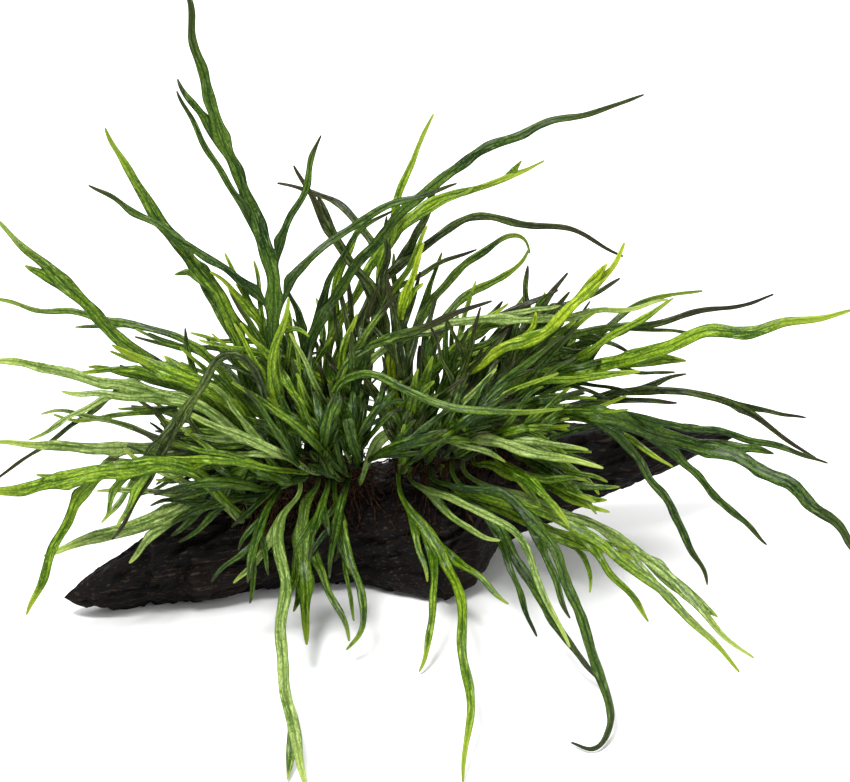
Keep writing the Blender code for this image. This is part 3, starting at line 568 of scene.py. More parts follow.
# %% Frond table
# fronds: name, tone, (run, share along it, angle round it: 0 front, 90 top, 180 back), blade width,
# how far the tip comes out, how far the middle bows out, the route (across, up) after the seat, and
# the lobes: (share along the frond, spread, length, width, curl); spread and curl turn anticlockwise
BACK_LOBES = [(.45, 44, 28, 2.4, 0), (.55, -40, 24, 2.2, 0)]
FRONDS = [
    ("tall_trident", "deep", ("left", .45, 100), 4.2, 60, 6,
     [(-56, 72), (-56, 95), (-62, 117), (-73, 143), (-81, 172), (-85, 199)],
     [(.30, 56, 72, 2.8, 6), (.31, -36, 72, 2.7, -44), (.39, -46, 44, 2.5, 20), (.455, 19, 52, 2.2, -14)]),
    ("broad_left", "leaf", ("left", .29, 118), 4.6, 38, 8,
     [(-65, 64), (-71, 86), (-86, 106), (-101, 127), (-111, 146)], [(.55, 60, 8, 1.6, 0)]),
    ("hooked_left", "bright", ("left", .37, 84), 2.6, 48, 4,
     [(-58, 62), (-59, 77), (-68, 92), (-77, 98)], [(.55, -34, 17, 1.8, -110)]),
    ("far_up_left", "leaf", ("left", .15, 70), 4.4, 46, 12,
     [(-77, 56), (-103, 74), (-125, 96), (-148, 116)], [(.34, 24, 30, 2.2, 0)]),
    ("golden_left", "bright", ("left", .20, 34), 4.6, 62, 10,
     [(-70, 56), (-95, 68), (-108, 75)], [(.74, 18, 28, 1.9, 10)]),
    ("thin_left", "leaf", ("left", .22, 140), 2.4, 14, 6,
     [(-73, 65), (-83, 75), (-97, 80), (-115, 84), (-135, 87), (-154, 91)], [(.22, 34, 44, 2.6, 6)]),
    ("dark_straw", "deep", ("spur", .3, 108), 1.8, 10, 0,
     [(-63, 66), (-70, 73), (-87, 74), (-103, 78)], [(.3, -44, 26, 1.4, -70)]),
    ("pale_left", "pale", ("left", .40, 8), 3.8, 68, 8,
     [(-77, 53), (-98, 60), (-117, 64), (-138, 69), (-156, 69)],
     [(.42, 16, 38, 2.6, -6), (.56, 40, 36, 1.9, 4)]),
    ("arching_left", "dark", ("left", .31, 52), 3.0, 76, 14,
     [(-61, 66), (-70, 71), (-78, 63), (-88, 46), (-100, 24), (-107, 12)], []),
    ("low_thin_left", "bright", ("left", .13, 24), 1.9, 44, 2,
     [(-80, 52), (-98, 53), (-118, 50), (-128, 52)], []),
    ("dark_thin_left", "dark", ("left", .20, 165), 1.7, 2, 0,
     [(-77, 62), (-95, 65), (-107, 61), (-122, 49), (-142, 36), (-153, 27)], []),
    ("white_left", "pale", ("left", .10, 4), 3.9, 58, 4,
     [(-85, 39), (-108, 41), (-128, 42), (-147, 43)],
     [(.38, -24, 46, 1.9, 42), (.44, 58, 30, 2.1, 0), (.58, 58, 26, 1.8, 0)]),
    ("main_left", "bright", ("left", .05, -20), 4.9, 82, 8,
     [(-85, 35), (-108, 34), (-128, 30), (-148, 27), (-157, 25)],
     [(.42, 60, 22, 2.0, 0), (.50, 62, 17, 1.7, 0), (.59, 50, 50, 3.3, 10), (.66, -22, 10, 1.2, 0)]),
    ("low_left", "pale", ("left", .01, -30), 5.0, 66, 4,
     [(-75, 27), (-87, 21), (-107, 14), (-130, 7)],
     [(.22, 30, 36, 2.3, -22), (.32, -34, 34, 2.0, 0), (.48, 32, 20, 2.4, 0)]),
    ("crown_spear", "bright", ("left", .43, 60), 3.1, 60, 4, [(-56, 62), (-55, 73), (-51, 90)], []),
    ("crown_small", "leaf", ("left", .54, 64), 2.4, 46, 3, [(-48, 65), (-49, 74), (-51, 84)],
     [(.42, -30, 22, 1.6, -10)]),
    ("crown_fork", "bright", ("left", .86, 72), 2.9, 52, 4, [(-34, 64), (-33, 75), (-29, 85)],
     [(.42, 46, 24, 2.3, 10)]),
    ("great_up", "deep", ("left", .57, 108), 3.5, 44, 8,
     [(-46, 69), (-38, 88), (-13, 119), (18, 141), (56, 153), (65, 156)],
     [(.19, 34, 20, 2.3, 0), (.25, 26, 44, 2.0, -58)]),
    ("forked_up", "bright", ("left", .66, 138), 2.9, 14, 4,
     [(-38, 75), (-28, 95), (-15, 114), (-2, 123), (15, 128), (33, 136)],
     [(.30, 30, 40, 2.6, -50), (.90, 26, 7, 1.3, 0)]),
    ("arching_up", "dark", ("left", .73, 158), 2.8, -14, 4,
     [(-33, 73), (-22, 94), (-7, 108), (8, 117), (25, 116), (43, 113), (60, 105)],
     [(.46, 22, 32, 2.6, 6), (.27, -16, 50, 1.9, -34)]),
    ("dark_strap", "dark", ("right", .04, 110), 3.3, 36, 4,
     [(-19, 73), (-23, 91), (-33, 105), (-42, 119), (-49, 134)], [(.48, -36, 28, 2.4, 16)]),
    ("back_strap", "dark", ("right", .12, 142), 2.9, 2, 0,
     [(-16, 73), (-18, 91), (-26, 111), (-37, 123), (-56, 129)], []),
    ("bright_spear", "bright", ("left", .96, 120), 2.9, 26, 3,
     [(-24, 75), (-20, 103), (-15, 124), (-9, 140), (-4, 151)], [(.40, -30, 34, 2.2, 14)]),
    ("lime_spear", "lime", ("right", .09, 62), 3.1, 48, 3, [(-18, 67), (-14, 87), (-7, 108)],
     [(.72, -30, 8, 1.3, 0)]),
    ("outer_loop", "leaf", ("right", .20, 162), 2.9, -16, 3,
     [(-12, 72), (-5, 89), (8, 103), (18, 110), (26, 111), (29, 106)], [(.34, 28, 32, 2.2, -16)]),
    ("inner_loop", "leaf", ("right", .25, 100), 2.9, 8, 3,
     [(-7, 70), (2, 87), (16, 96), (25, 102), (28, 107)], [(.34, -14, 18, 2.2, -20)]),
    ("dark_tipped", "darktip", ("right", .30, 62), 3.2, 32, 4,
     [(-4, 67), (8, 77), (22, 86), (37, 93)], [(.42, -30, 26, 2.0, 30)]),
    ("ribbed", "darktip", ("left", .77, 42), 2.8, 62, 6, [(-35, 64), (-22, 75), (-3, 82), (15, 89)],
     [(.42, 26, 26, 2.0, -16)]),
    ("level", "pale", ("left", .91, 34), 2.9, 40, 4,
     [(-28, 65), (-13, 77), (8, 83), (28, 83), (47, 85), (73, 89)], []),
    ("lime_broad", "lime", ("right", .42, 82), 3.8, 40, 4,
     [(2, 63), (17, 72), (32, 79), (43, 89), (53, 99), (59, 108)], [(.52, 50, 9, 1.3, 0)]),
    ("eyed", "leaf", ("right", .47, 42), 2.3, 20, 3,
     [(8, 63), (28, 68), (43, 74), (56, 83), (68, 90), (85, 93)], []),
    ("slim", "darktip", ("right", .54, 102), 2.3, 30, 4,
     [(12, 67), (32, 76), (52, 80), (73, 83), (108, 91)], [(.3, -26, 26, 2.0, 12), (.46, -30, 18, 1.8, 0)]),
    ("long_right", "bright", ("right", .63, 52), 4.7, 56, 6,
     [(18, 61), (38, 66), (60, 70), (82, 78), (103, 80), (132, 86)],
     [(.30, 30, 42, 2.5, -14), (.18, -16, 40, 2.8, 10)]),
    ("bowed", "dark", ("right", .73, 92), 2.6, 30, 3,
     [(22, 58), (40, 55), (58, 59), (75, 60), (93, 56), (107, 48), (122, 37)], [(.36, -20, 26, 2.0, 6)]),
    ("over", "leaf", ("left", .82, 8), 2.8, 66, 8,
     [(-37, 58), (-26, 65), (-12, 60), (3, 54), (22, 53), (38, 54)], []),
    ("straight", "bright", ("right", .51, 6), 2.3, 50, 2,
     [(15, 48), (33, 52), (48, 54), (59, 58)], [(.70, -26, 38, 2.3, -18)]),
    ("great_right", "deep", ("right", .95, 24), 4.9, 52, 3,
     [(38, 53), (55, 51), (73, 44), (93, 39), (112, 29), (127, 16), (141, -1)],
     [(.22, -34, 68, 2.9, -24), (.38, -30, 50, 2.6, 10), (.28, 16, 70, 2.5, -18)]),
    ("white_right", "pale", ("left", .95, -8), 4.0, 66, 6,
     [(-22, 44), (-8, 47), (12, 44), (32, 39), (51, 35)], [(.42, -20, 26, 2.2, 4)]),
    ("low_short", "bright", ("right", .62, -24), 3.0, 56, 3,
     [(14, 36), (22, 32), (34, 28), (53, 20)], [(.34, 22, 30, 2.1, -30)]),
    ("low_long", "pale", ("right", .54, -26), 3.4, 64, 3,
     [(13, 29), (33, 22), (52, 14), (72, 0), (89, -18), (99, -27)], [(.52, -22, 28, 2.4, 6)]),
    ("low_twin", "bright", ("right", .46, -24), 3.3, 84, 3,
     [(10, 26), (35, 19), (53, 8), (74, -9), (94, -30)], [(.44, -24, 36, 2.4, 8)]),
    ("low_broad", "bright", ("right", .385, -22), 3.2, 66, 3,
     [(8, 25), (27, 17), (44, 10), (61, 5)], [(.70, 20, 20, 1.7, -14), (.72, -26, 18, 1.4, -50)]),
    ("front_hooked", "deep", ("right", .31, -28), 3.5, 98, 6,
     [(18, 26), (32, 13), (40, -4), (48, -28), (52, -43), (47, -53), (39, -51)], [(.34, -24, 32, 2.4, 8)]),
    ("front_strap", "deep", ("right", .24, -28), 3.5, 84, 6,
     [(14, 19), (26, 0), (38, -19), (49, -33)], [(.35, -22, 40, 2.1, 0)]),
    ("front_slip", "pale", ("right", .15, -28), 2.5, 96, 6,
     [(11, 21), (24, 12), (30, -2), (39, -22)], [(.16, -40, 28, 2.2, 50)]),
    ("front_hand", "bright", ("right", .04, -24), 3.3, 128, 4,
     [(-13, 22), (-4, 11), (3, -3), (6, -23), (7, -47), (5, -62)],
     [(.16, -34, 22, 2.0, 10), (.24, -26, 44, 2.5, -30), (.30, 28, 28, 2.2, -10)]),
    ("front_claw", "leaf", ("left", .62, -20), 4.3, 72, 5, [(-47, 22), (-46, 3), (-45, -22)],
     [(.42, 30, 36, 2.4, -20), (.5, -24, 16, 2.1, 0), (.65, -20, 10, 1.9, 0)]),
    ("front_tail", "pale", ("left", .47, -28), 3.9, 134, 5,
     [(-54, 17), (-52, -3), (-52, -28), (-48, -45), (-42, -69)], [(.17, -22, 24, 2.3, -20)]),
    ("front_slim", "leaf", ("left", .75, -28), 2.7, 64, 4,
     [(-34, 15), (-28, -3), (-27, -16), (-32, -24)], []),
    ("back_left", "leaf", ("left", .52, 172), 3.6, -84, 14, [(-60, 60), (-74, 60)], BACK_LOBES),
    ("back_mid", "deep", ("left", .84, 178), 3.6, -98, 14, [(-32, 58), (-24, 56)], BACK_LOBES),
    ("back_right", "leaf", ("right", .90, 170), 3.6, -78, 12, [(18, 54), (34, 56)], BACK_LOBES),
]


def smooth_route(points, step):
    """Evenly spaced points on a smooth curve through the given ones."""
    pts = np.asarray(points, dtype=float)
    pts = np.vstack([2 * pts[0] - pts[1], pts, 2 * pts[-1] - pts[-2]])
    dense = []
    for i in range(1, len(pts) - 2):
        a, b, c, d = pts[i - 1:i + 3]
        for t in np.linspace(0, 1, 24, endpoint=False):
            dense.append(0.5 * (2 * b + (c - a) * t + (2 * a - 5 * b + 4 * c - d) * t ** 2
                                + (3 * b - a - 3 * c + d) * t ** 3))
    dense = np.array(dense + [pts[-2]])
    run = np.concatenate([[0], np.cumsum(np.linalg.norm(np.diff(dense, axis=0), axis=1))])
    count = max(3, int(round(run[-1] / step)) + 1)
    want = np.linspace(0, run[-1], count)
    return np.stack([np.interp(want, run, dense[:, k]) for k in range(dense.shape[1])], axis=1)


print("fronds in the frame:", len(FRONDS))

# %% [markdown]
# ## From a short description to a frond's run
# Each frond starts at its seat on the rhizome, leaves it squarely and then follows its own route. Its lobes
# fork off by a rule: where, how wide apart, how long, and how much they curl. Working them out with the
# rule, instead of placing each by eye, keeps forks looking like growth.

# %% Main runs and lobes
# widths and steps in mm, and shares of a frond's length
PETIOLE_WIDTH = 1.5
PETIOLE_SHARE = 0.07
OPENING_SHARE = 0.17
TAPER_SHARE = 0.30
TIP_WIDTH = 0.7
SAMPLE_STEP = 3.0
SQUARE_START = 7
# seats at more than BEHIND degrees round the rhizome lie at its back, and under LOW_SEAT at its front
BEHIND = 150
LOW_SEAT = 40


def seat_on(run, share, angle):
    centre = at_share(rhizome_line(run), share)
    a = radians(angle)
    away = np.array([0.0, -cos(a), sin(a)])
    return centre + away * (RHIZOME_RADIUS + SEAT_GAP), away


def width_along(share, width, petiole):
    """Full width: a thin petiole that opens into the blade and narrows to the tip."""
    base = PETIOLE_WIDTH if petiole else width
    opening = np.clip((share - PETIOLE_SHARE) / OPENING_SHARE, 0, 1) if petiole else 1.0
    body = base + (width - base) * opening * opening * (3 - 2 * opening)
    taper = np.clip((1 - share) / TAPER_SHARE, 0, 1) ** 0.7
    return TIP_WIDTH + (body - TIP_WIDTH) * taper


def main_strand(frond):
    seat, width, tip_out, bow, route = frond[2:7]
    start, away = seat_on(*seat)
    first = world_to_sheet(start)
    second = world_to_sheet(start + away * SQUARE_START)
    flat = smooth_route([first[:2], second[:2]] + [np.array(p, float) for p in route], SAMPLE_STEP)
    share = np.linspace(0, 1, len(flat))
    out = first[2] + (tip_out - first[2]) * share + bow * 4 * share * (1 - share)
    return {"points": np.column_stack([flat, out]), "width": width, "petiole": True}


def lobe_strand(parent, lobe):
    share, spread, length, width, curl = lobe
    points = parent["points"]
    base = at_share(points, share)
    ahead = at_share(points, share + 0.03) - at_share(points, share - 0.03)
    heading = np.arctan2(ahead[1], ahead[0])
    count = max(4, int(round(length / SAMPLE_STEP)) + 1)
    step = length / (count - 1)
    here = base.copy()
    line = [here.copy()]
    for k in range(1, count):
        turned = heading + radians(spread + curl * (k - 0.5) / (count - 1))
        here = here + step * np.array([cos(turned), sin(turned), 0.0])
        line.append(here.copy())
    return {"points": np.array(line), "width": width, "petiole": False, "share": share,
            "side": 1 if spread > 0 else -1}


def lay_out(table):
    fronds = []
    for frond in table:
        main = main_strand(frond)
        strands = [main] + [lobe_strand(main, lobe) for lobe in frond[7]]
        fronds.append({"name": frond[0], "tone": frond[1], "strands": strands, "tip_out": frond[4],
                       "behind": frond[2][2] > BEHIND, "low_seat": frond[2][2] < LOW_SEAT})
    return fronds


fronds = lay_out(FRONDS)
print("strands:", sum(len(f["strands"]) for f in fronds))

# %% [markdown]
# ## Letting blades give way
# Real blades lie over each other and never pass through. Seen from the front, crossing blades only need to
# differ in how far they come out. So all large runs stand in one order, by how far their frond's tip comes
# out, and the rule pushes each crossing pair apart until it clears, smoothing each run as it goes. One order
# for all matters: with an order for each pair, three blades could push each other round and round. A crowd
# of young blades is different: one long order would stack them a metre deep. So for them each pair keeps
# the order it already has where it crosses, and no point moves far.

# %% Giving way
# mm: the room between blades, and from blades to the wood, the rhizome and the table
CLEARANCE = 3.1
WOOD_CLEARANCE = 3.4
WOOD_SWELL = 1.5
TABLE_CLEARANCE = 1.0
RHIZOME_MARGIN = 0.8
RHIZOME_CLEARANCE = 2.2
NEAR_MARGIN = 2.2
NO_LIMIT = 1e6
# a main run is held at its seat and a lobe at its fork, and they come loose over these lengths
HELD = 1
SEAT_ZONE = 2
LOOSE_MAIN = 9
LOOSE_LOBE = 6
FORK_ZONE = 9
# each round moves a crossing pair by this share of what it lacks, and the last rounds don't smooth
PUSH_SHARE = 0.55
PUSH_GAIN = 1.6
SETTLE_ROUNDS = 12


def wood_faces(across, up):
    """How far out the wood's front and back lie at a place on the sheet, or None beside it."""
    if not WOOD[0][0] < across < WOOD[-1][0]:
        return None
    y, z, deep, high = wood_section(across)
    deep += WOOD_SWELL
    high += WOOD_SWELL
    s, c = sin(radians(LEAN)), cos(radians(LEAN))
    py, pz = up * s - y, up * c - z
    a = (c / deep) ** 2 + (s / high) ** 2
    b = 2 * (-py * c / deep ** 2 + pz * s / high ** 2)
    k = (py / deep) ** 2 + (pz / high) ** 2 - 1
    inside = b * b - 4 * a * k
    if inside <= 0:
        return None
    root = inside ** 0.5
    return (-b + root) / (2 * a), (-b - root) / (2 * a)


def near_pairs(flat, half):
    """Pairs of points that are near each other on the sheet, found with a tree instead of a full table."""
    tree = kdtree.KDTree(len(flat))
    for i, p in enumerate(flat):
        tree.insert((p[0], p[1], 0.0), i)
    tree.balance()
    widest = half.max()
    first, second = [], []
    for i, p in enumerate(flat):
        for _, j, distance in tree.find_range((p[0], p[1], 0.0), half[i] + widest + NEAR_MARGIN):
            if j > i and distance < half[i] + half[j] + NEAR_MARGIN:
                first.append(i)
                second.append(j)
    return np.array(first), np.array(second)


def order_by_tips(fronds, strands, strand_id, first, second, _):
    """+1 where the first point's frond is the one whose tip comes out further, else -1."""
    ahead = sorted(range(len(strands)), key=lambda k: (fronds[strands[k][0]]["tip_out"], k))
    rank = np.empty(len(strands))
    rank[ahead] = np.arange(len(strands))
    return np.sign(rank[strand_id[first]] - rank[strand_id[second]])


def order_by_pair(_, strands, strand_id, first, second, out):
    """+1 where the first point's run lies further out than the second's, over all the places they meet."""
    pair = strand_id[first] * len(strands) + strand_id[second]
    lead = np.bincount(pair, out[first] - out[second], len(strands) ** 2)
    return np.where(lead[pair] >= 0, 1.0, -1.0)


def sample_points(strands):
    """Every point of every run in flat arrays, and the span of each run in them."""
    flat, half, free, owner, strand_id, along, spans = [], [], [], [], [], [], []
    for k, (n, s) in enumerate(strands):
        count = len(s["points"])
        run = np.arange(count) * SAMPLE_STEP
        loose = np.clip((run - HELD) / (LOOSE_MAIN if s["petiole"] else LOOSE_LOBE), 0, 1)
        spans.append((len(flat), len(flat) + count))
        flat.extend(s["points"])
        half.extend(width_along(t, s["width"], s["petiole"]) / 2 for t in np.linspace(0, 1, count))
        free.extend(np.zeros(count) if s.get("settled") else loose)
        owner.extend([n] * count)
        strand_id.extend([k] * count)
        along.extend(run)
    return [np.array(a) for a in (flat, half, free, owner, strand_id, along)], spans


def crossing_pairs(flat, half, free, owner, strand_id, along):
    """Pairs of near points on different runs, apart from a lobe and its own frond at the fork."""
    first, second = near_pairs(flat, half)
    at_fork = np.minimum(along[first], along[second]) < FORK_ZONE
    joined = (owner[first] == owner[second]) & ((strand_id[first] == strand_id[second]) | at_fork)
    wanted = ~joined & ((free[first] > 0) | (free[second] > 0))
    return first[wanted], second[wanted]


def out_limits(fronds, flat, half, owner, along):
    """The least and the most each point may come out, for the wood, the rhizome and the table."""
    rhizomes = np.array([world_to_sheet(p) for run in RUNS for p in smooth_route(rhizome_line(run), 2.0)])
    least = np.full(len(flat), -1e9)
    most = np.full(len(flat), 1e9)
    for i, (across, up, _) in enumerate(flat):
        faces = wood_faces(across, up)
        if faces and fronds[owner[i]]["behind"]:
            most[i] = faces[1] - WOOD_CLEARANCE
        elif faces:
            least[i] = faces[0] + WOOD_CLEARANCE
        reach = RHIZOME_RADIUS + half[i] + RHIZOME_MARGIN
        close = np.linalg.norm(rhizomes[:, :2] - (across, up), axis=1) < reach
        if close.any() and fronds[owner[i]]["low_seat"] and along[i] > SEAT_ZONE:
            over = rhizomes[close, 2].max() + RHIZOME_RADIUS + RHIZOME_CLEARANCE
            least[i] = max(least[i], over)
        table = (TABLE_CLEARANCE + half[i] * 0.5 - up * cos(radians(LEAN))) / sin(radians(LEAN))
        least[i] = max(least[i], table)
    return least, most


def fork_points(strands, spans):
    """For each lobe, the point of its parent's run where it forks off."""
    parents = {}
    for k, (n, s) in enumerate(strands):
        if not s["petiole"]:
            main = next(m for m, (o, q) in enumerate(strands) if o == n and q["petiole"])
            low, high = spans[main]
            parents[k] = low + int(round(s["share"] * (high - low - 1)))
    return parents


def let_fronds_give_way(fronds, order_rule, clearance, furthest_shift, rounds):
    """Shift blades along "out" until crossing ones clear each other, the wood and the table."""
    strands = [(n, s) for n, f in enumerate(fronds) for s in f["strands"]]
    arrays, spans = sample_points(strands)
    flat, half, free, owner, strand_id, along = arrays
    base_out = flat[:, 2].copy()
    first, second = crossing_pairs(*arrays)
    order = order_rule(fronds, strands, strand_id, first, second, base_out)
    least, most = out_limits(fronds, flat, half, owner, along)
    parents = fork_points(strands, spans)
    offset = np.zeros(len(flat))
    for turn in range(rounds):
        out = base_out + offset
        need = clearance - (out[first] - out[second]) * order
        push = np.where(need > 0, need * PUSH_SHARE, 0) * order
        weight = free[first] + free[second] + 1e-6
        move = np.bincount(first, push * free[first] / weight, len(flat))
        move -= np.bincount(second, push * free[second] / weight, len(flat))
        hits = np.bincount(first, need > 0, len(flat)) + np.bincount(second, need > 0, len(flat))
        offset += PUSH_GAIN * move / np.maximum(hits, 1) ** 0.5
        out = base_out + np.clip(offset, -furthest_shift, furthest_shift)
        offset = np.where(free > 0, np.minimum(np.maximum(out, least), most), out) - base_out
        for k, (low, high) in enumerate(spans):
            if strands[k][1].get("settled"):
                continue
            part = offset[low:high]
            if turn < rounds - SETTLE_ROUNDS:
                part[1:-1] = 0.5 * part[1:-1] + 0.25 * (part[:-2] + part[2:])
            if k in parents:
                lead = base_out[parents[k]] + offset[parents[k]] - base_out[low]
                fade = 1 - free[low:high]
                part[:] = part * (1 - fade) + lead * fade
    for (low, high), (_, s) in zip(spans, strands):
        s["points"][:, 2] = base_out[low:high] + offset[low:high]
    return len(flat)


LARGE_ROUNDS = 160
let_fronds_give_way(fronds, order_by_tips, CLEARANCE, NO_LIMIT, LARGE_ROUNDS)
furthest = max(s["points"][:, 2].max() for f in fronds for s in f["strands"])
print("furthest blade point out, mm:", round(furthest))

# %% [markdown]
# ## Young fronds by rule
# Between the large fronds the crown is packed with young ones: short, narrow and forked. They are too fine
# and too many to be solids of their own, so they exist only here. Placing each by hand would be slow, and a
# plain scatter would look like grass. On the plant they grow in fans: those on top of the rhizome stand up
# and spread, those on its sides lean out, and those in front hang over the wood. So each fan is one row of
# ranges, and a seeded generator draws every frond from them, the same ones on every run.

# %% Fans of young fronds
YOUNG_CLEARANCE = 1.5
YOUNG_SHIFT = 9.0
YOUNG_ROUNDS = 60
YOUNG_WIDTHS = (1.7, 2.9)
YOUNG_BOWS = (1, 8)
YOUNG_SEED = 7
# fan: name, how many, seat angles, heading in the middle of the crown, how much it turns for each mm
# along the wood, spread, lengths, how far the tips come out, tones
FANS = [
    ("upright", 22, (58, 118), 92, -1.10, 14, (32, 60), (14, 50), ("deep", "leaf", "dark", "bright", "deep")),
    ("behind", 14, (138, 168), 92, -1.25, 14, (30, 54), (-34, 6), ("deep", "leaf", "leaf", "deep")),
    ("leaning", 28, (14, 66), 90, -1.95, 13, (26, 50), (26, 62), ("deep", "leaf", "dark", "leaf", "deep")),
    ("level", 22, (0, 34), 90, -2.40, 11, (32, 58), (40, 66), ("leaf", "deep", "bright", "deep", "pale")),
    ("hanging", 5, (-30, 8), 270, 0.95, 24, (20, 36), (48, 74), ("deep", "leaf", "deep", "bright")),
    ("gap", 20, (-20, 100), 94, 0.5, 30, (16, 34), (30, 58), ("deep", "dark", "deep", "leaf")),
    ("base", 38, (-10, 90), 90, -1.7, 34, (12, 26), (24, 54), ("deep", "dark", "deep", "leaf")),
]
DROOP = 24.0


def young_route(seat, heading, length, random):
    """Three route points that leave the seat along a heading and droop to the side they lean to."""
    start, away = seat_on(*seat)
    here = world_to_sheet(start + away * SQUARE_START)[:2]
    curl = -cos(radians(heading)) * DROOP + random.normal(0, 12)
    route = []
    for share in (1 / 3, 2 / 3, 1.0):
        turned = radians(heading + curl * (share - 0.3))
        here = here + length / 3 * np.array([cos(turned), sin(turned)])
        route.append(tuple(here))
    return route


def young_lobes(length, width, random):
    """Forks like a small antler: each lobe leaves wide and bends back along the frond."""
    lobes = []
    side = random.choice((-1, 1))
    share = random.uniform(0.30, 0.44)
    for _ in range(random.integers(1, 5)):
        spread, curl = side * random.uniform(28, 52), -side * random.uniform(8, 44)
        lobes.append((share, spread, length * random.uniform(0.30, 0.58), width * 0.72, curl))
        side = -side
        share += random.uniform(0.08, 0.14)
    return lobes


def young_fronds():
    random = np.random.default_rng(YOUNG_SEED)
    table = []
    for fan, count, seats, middle, turn, loose, lengths, outs, tones in FANS:
        for n in range(count):
            run = ("left", "right")[n % 2] if fan != "behind" or n % 5 else "spur"
            share = random.uniform(0.03, 0.97)
            if fan == "gap":
                # these fill the ends of the two runs, where they meet
                share = 0.80 + 0.20 * share if run == "left" else 0.14 * share
            seat = (run, share, random.uniform(*seats))
            x = seat_on(*seat)[0][0]
            heading = middle + turn * (x - CROWN_MIDDLE) + random.normal(0, loose)
            length, width = random.uniform(*lengths), random.uniform(*YOUNG_WIDTHS)
            route = young_route(seat, heading, length, random)
            table.append(("%s_%02d" % (fan, n), tones[n % len(tones)], seat, width, random.uniform(*outs),
                          random.uniform(*YOUNG_BOWS), route, young_lobes(length, width, random)))
    return lay_out(table)


young = young_fronds()
print("young fronds:", len(young), "strands:", sum(len(f["strands"]) for f in young))

# %% [markdown]
# ## Side lobes on the large fronds
# Many large fronds also carry a short side lobe or two, too small to be part of the solids. They fork off
# by the same rule as the large lobes, away from those that are there.
# Then the young fronds and the side lobes give way together, while the large runs stay where they settled.

# %% Side lobes and the second giving way
SIDE_SHARES = (0.36, 0.48, 0.62, 0.76)
SIDE_CHANCE = 0.24
SIDE_SPACING = 0.08
SIDE_SEED = 11


def side_lobes(frond, random):
    main = frond["strands"][0]
    taken = [s["share"] for s in frond["strands"][1:]]
    for share in SIDE_SHARES:
        share += random.uniform(-0.03, 0.03)
        side = random.choice((-1, 1))
        if random.random() > SIDE_CHANCE or any(abs(share - t) < SIDE_SPACING for t in taken):
            continue
        length = random.uniform(14, 30) * (1.15 - 0.5 * share)
        lobe = (share, side * random.uniform(16, 30), length, main["width"] * 0.55, -side * 16)
        frond["strands"].append(lobe_strand(main, lobe))
        taken.append(share)


random_lobes = np.random.default_rng(SIDE_SEED)
for frond in fronds:
    for strand in frond["strands"]:
        strand["settled"] = True
    side_lobes(frond, random_lobes)
points = let_fronds_give_way(fronds + young, order_by_pair, YOUNG_CLEARANCE, YOUNG_SHIFT, YOUNG_ROUNDS)
print("side lobes:", sum(not s.get("settled") for f in fronds for s in f["strands"]), "points:", points)

# %% [markdown]
# ## From a run to a blade
# A blade is a strip with five points across, so the midrib can be sunk and the halves can swell. A lobe
# grows from three points of the parent's edge, which makes one unbroken sheet of the fork. Edge points
# rise and fall in slow waves, the run wanders from side to side and the width breathes a little, as blades
# that grew in moving water do. Each lobe flares into the parent, which webs the fork. A Solidify modifier
# gives the sheet its thickness and one subdivision rounds its rim. Modelling the waves in the points keeps
# them visible in the outline, where bump alone would not be.

# %% Blade cage
BLADE_THICK = 0.55
STATION = 2.6
# mm: how far a run wanders and its edges wave; and the share by which its width breathes
WANDER = 0.95
EDGE_WAVE = 0.55
LOBE_WAVE = 0.40
BREATHE = 0.20
# how much wider a lobe starts and a main blade swells at a fork, and over how many mm
FLARE = 0.9
FLARE_RUN = 2.2
HUB = 0.42
HUB_REACH = 3.2
RIBBON_TAPER = 0.26
# radians: how far a blade's face turns from side to side as it runs
MAIN_TWIST = 0.30
LOBE_TWIST = 0.28
FOLD_DROP = 0.10
# where the points across a blade lie, as shares of its half width
COLUMNS = (-1.0, -0.5, 0.0, 0.5, 1.0)
LOBE_COLUMNS = (-1.0, 0.0, 1.0)
# how far the foot of a lobe reaches along its parent's edge each way, as a share of the lobe's width
FOOT_REACH = 0.75
FACING = np.array([0.0, -0.80, 0.60])
# fronds that run straight back would lie edge on to that, so they face up and back instead
FACING_UP = np.array([0.0, 0.35, 0.94])
RUNS_BACK = -60


class Waves:
    """Slow random waves along a blade: the same ones on every run of the script."""

    def __init__(self, seed):
        self.random = np.random.default_rng(seed)

    def make(self, longest, shortest):
        lengths = self.random.uniform(shortest, longest, 3)
        phases = self.random.uniform(0, 2 * pi, 3)
        return lambda s: sum(sin(2 * pi * s / w + p) for w, p in zip(lengths, phases)) / 3


def ribbon_half(share, width, petiole):
    """Half the width of a finished blade: it keeps its width nearly to the tip, as a ribbon does."""
    early = width_along(min(share, 0.68), width, petiole) / 2
    taper = float(np.clip((1 - share) / RIBBON_TAPER, 0, 1)) ** 0.75
    return TIP_WIDTH / 2 + (early - TIP_WIDTH / 2) * taper * (1 - 0.22 * max(0.0, share - 0.5))


def directions(world, twist, facing):
    """Width and face directions at each point of a run."""
    run = np.gradient(world, axis=0)
    run /= np.linalg.norm(run, axis=1)[:, None]
    wide = np.cross(facing, run)
    wide /= np.linalg.norm(wide, axis=1)[:, None]
    face = np.cross(run, wide)
    rows = np.arange(len(world))
    turn = np.array([twist(r * STATION) for r in rows])[:, None]
    wide, face = wide * np.cos(turn) + face * np.sin(turn), face * np.cos(turn) - wide * np.sin(turn)
    return wide, face


def on_sheet(strand, shares):
    return sheet_to_world(np.array([at_share(strand["points"], t) for t in shares]))


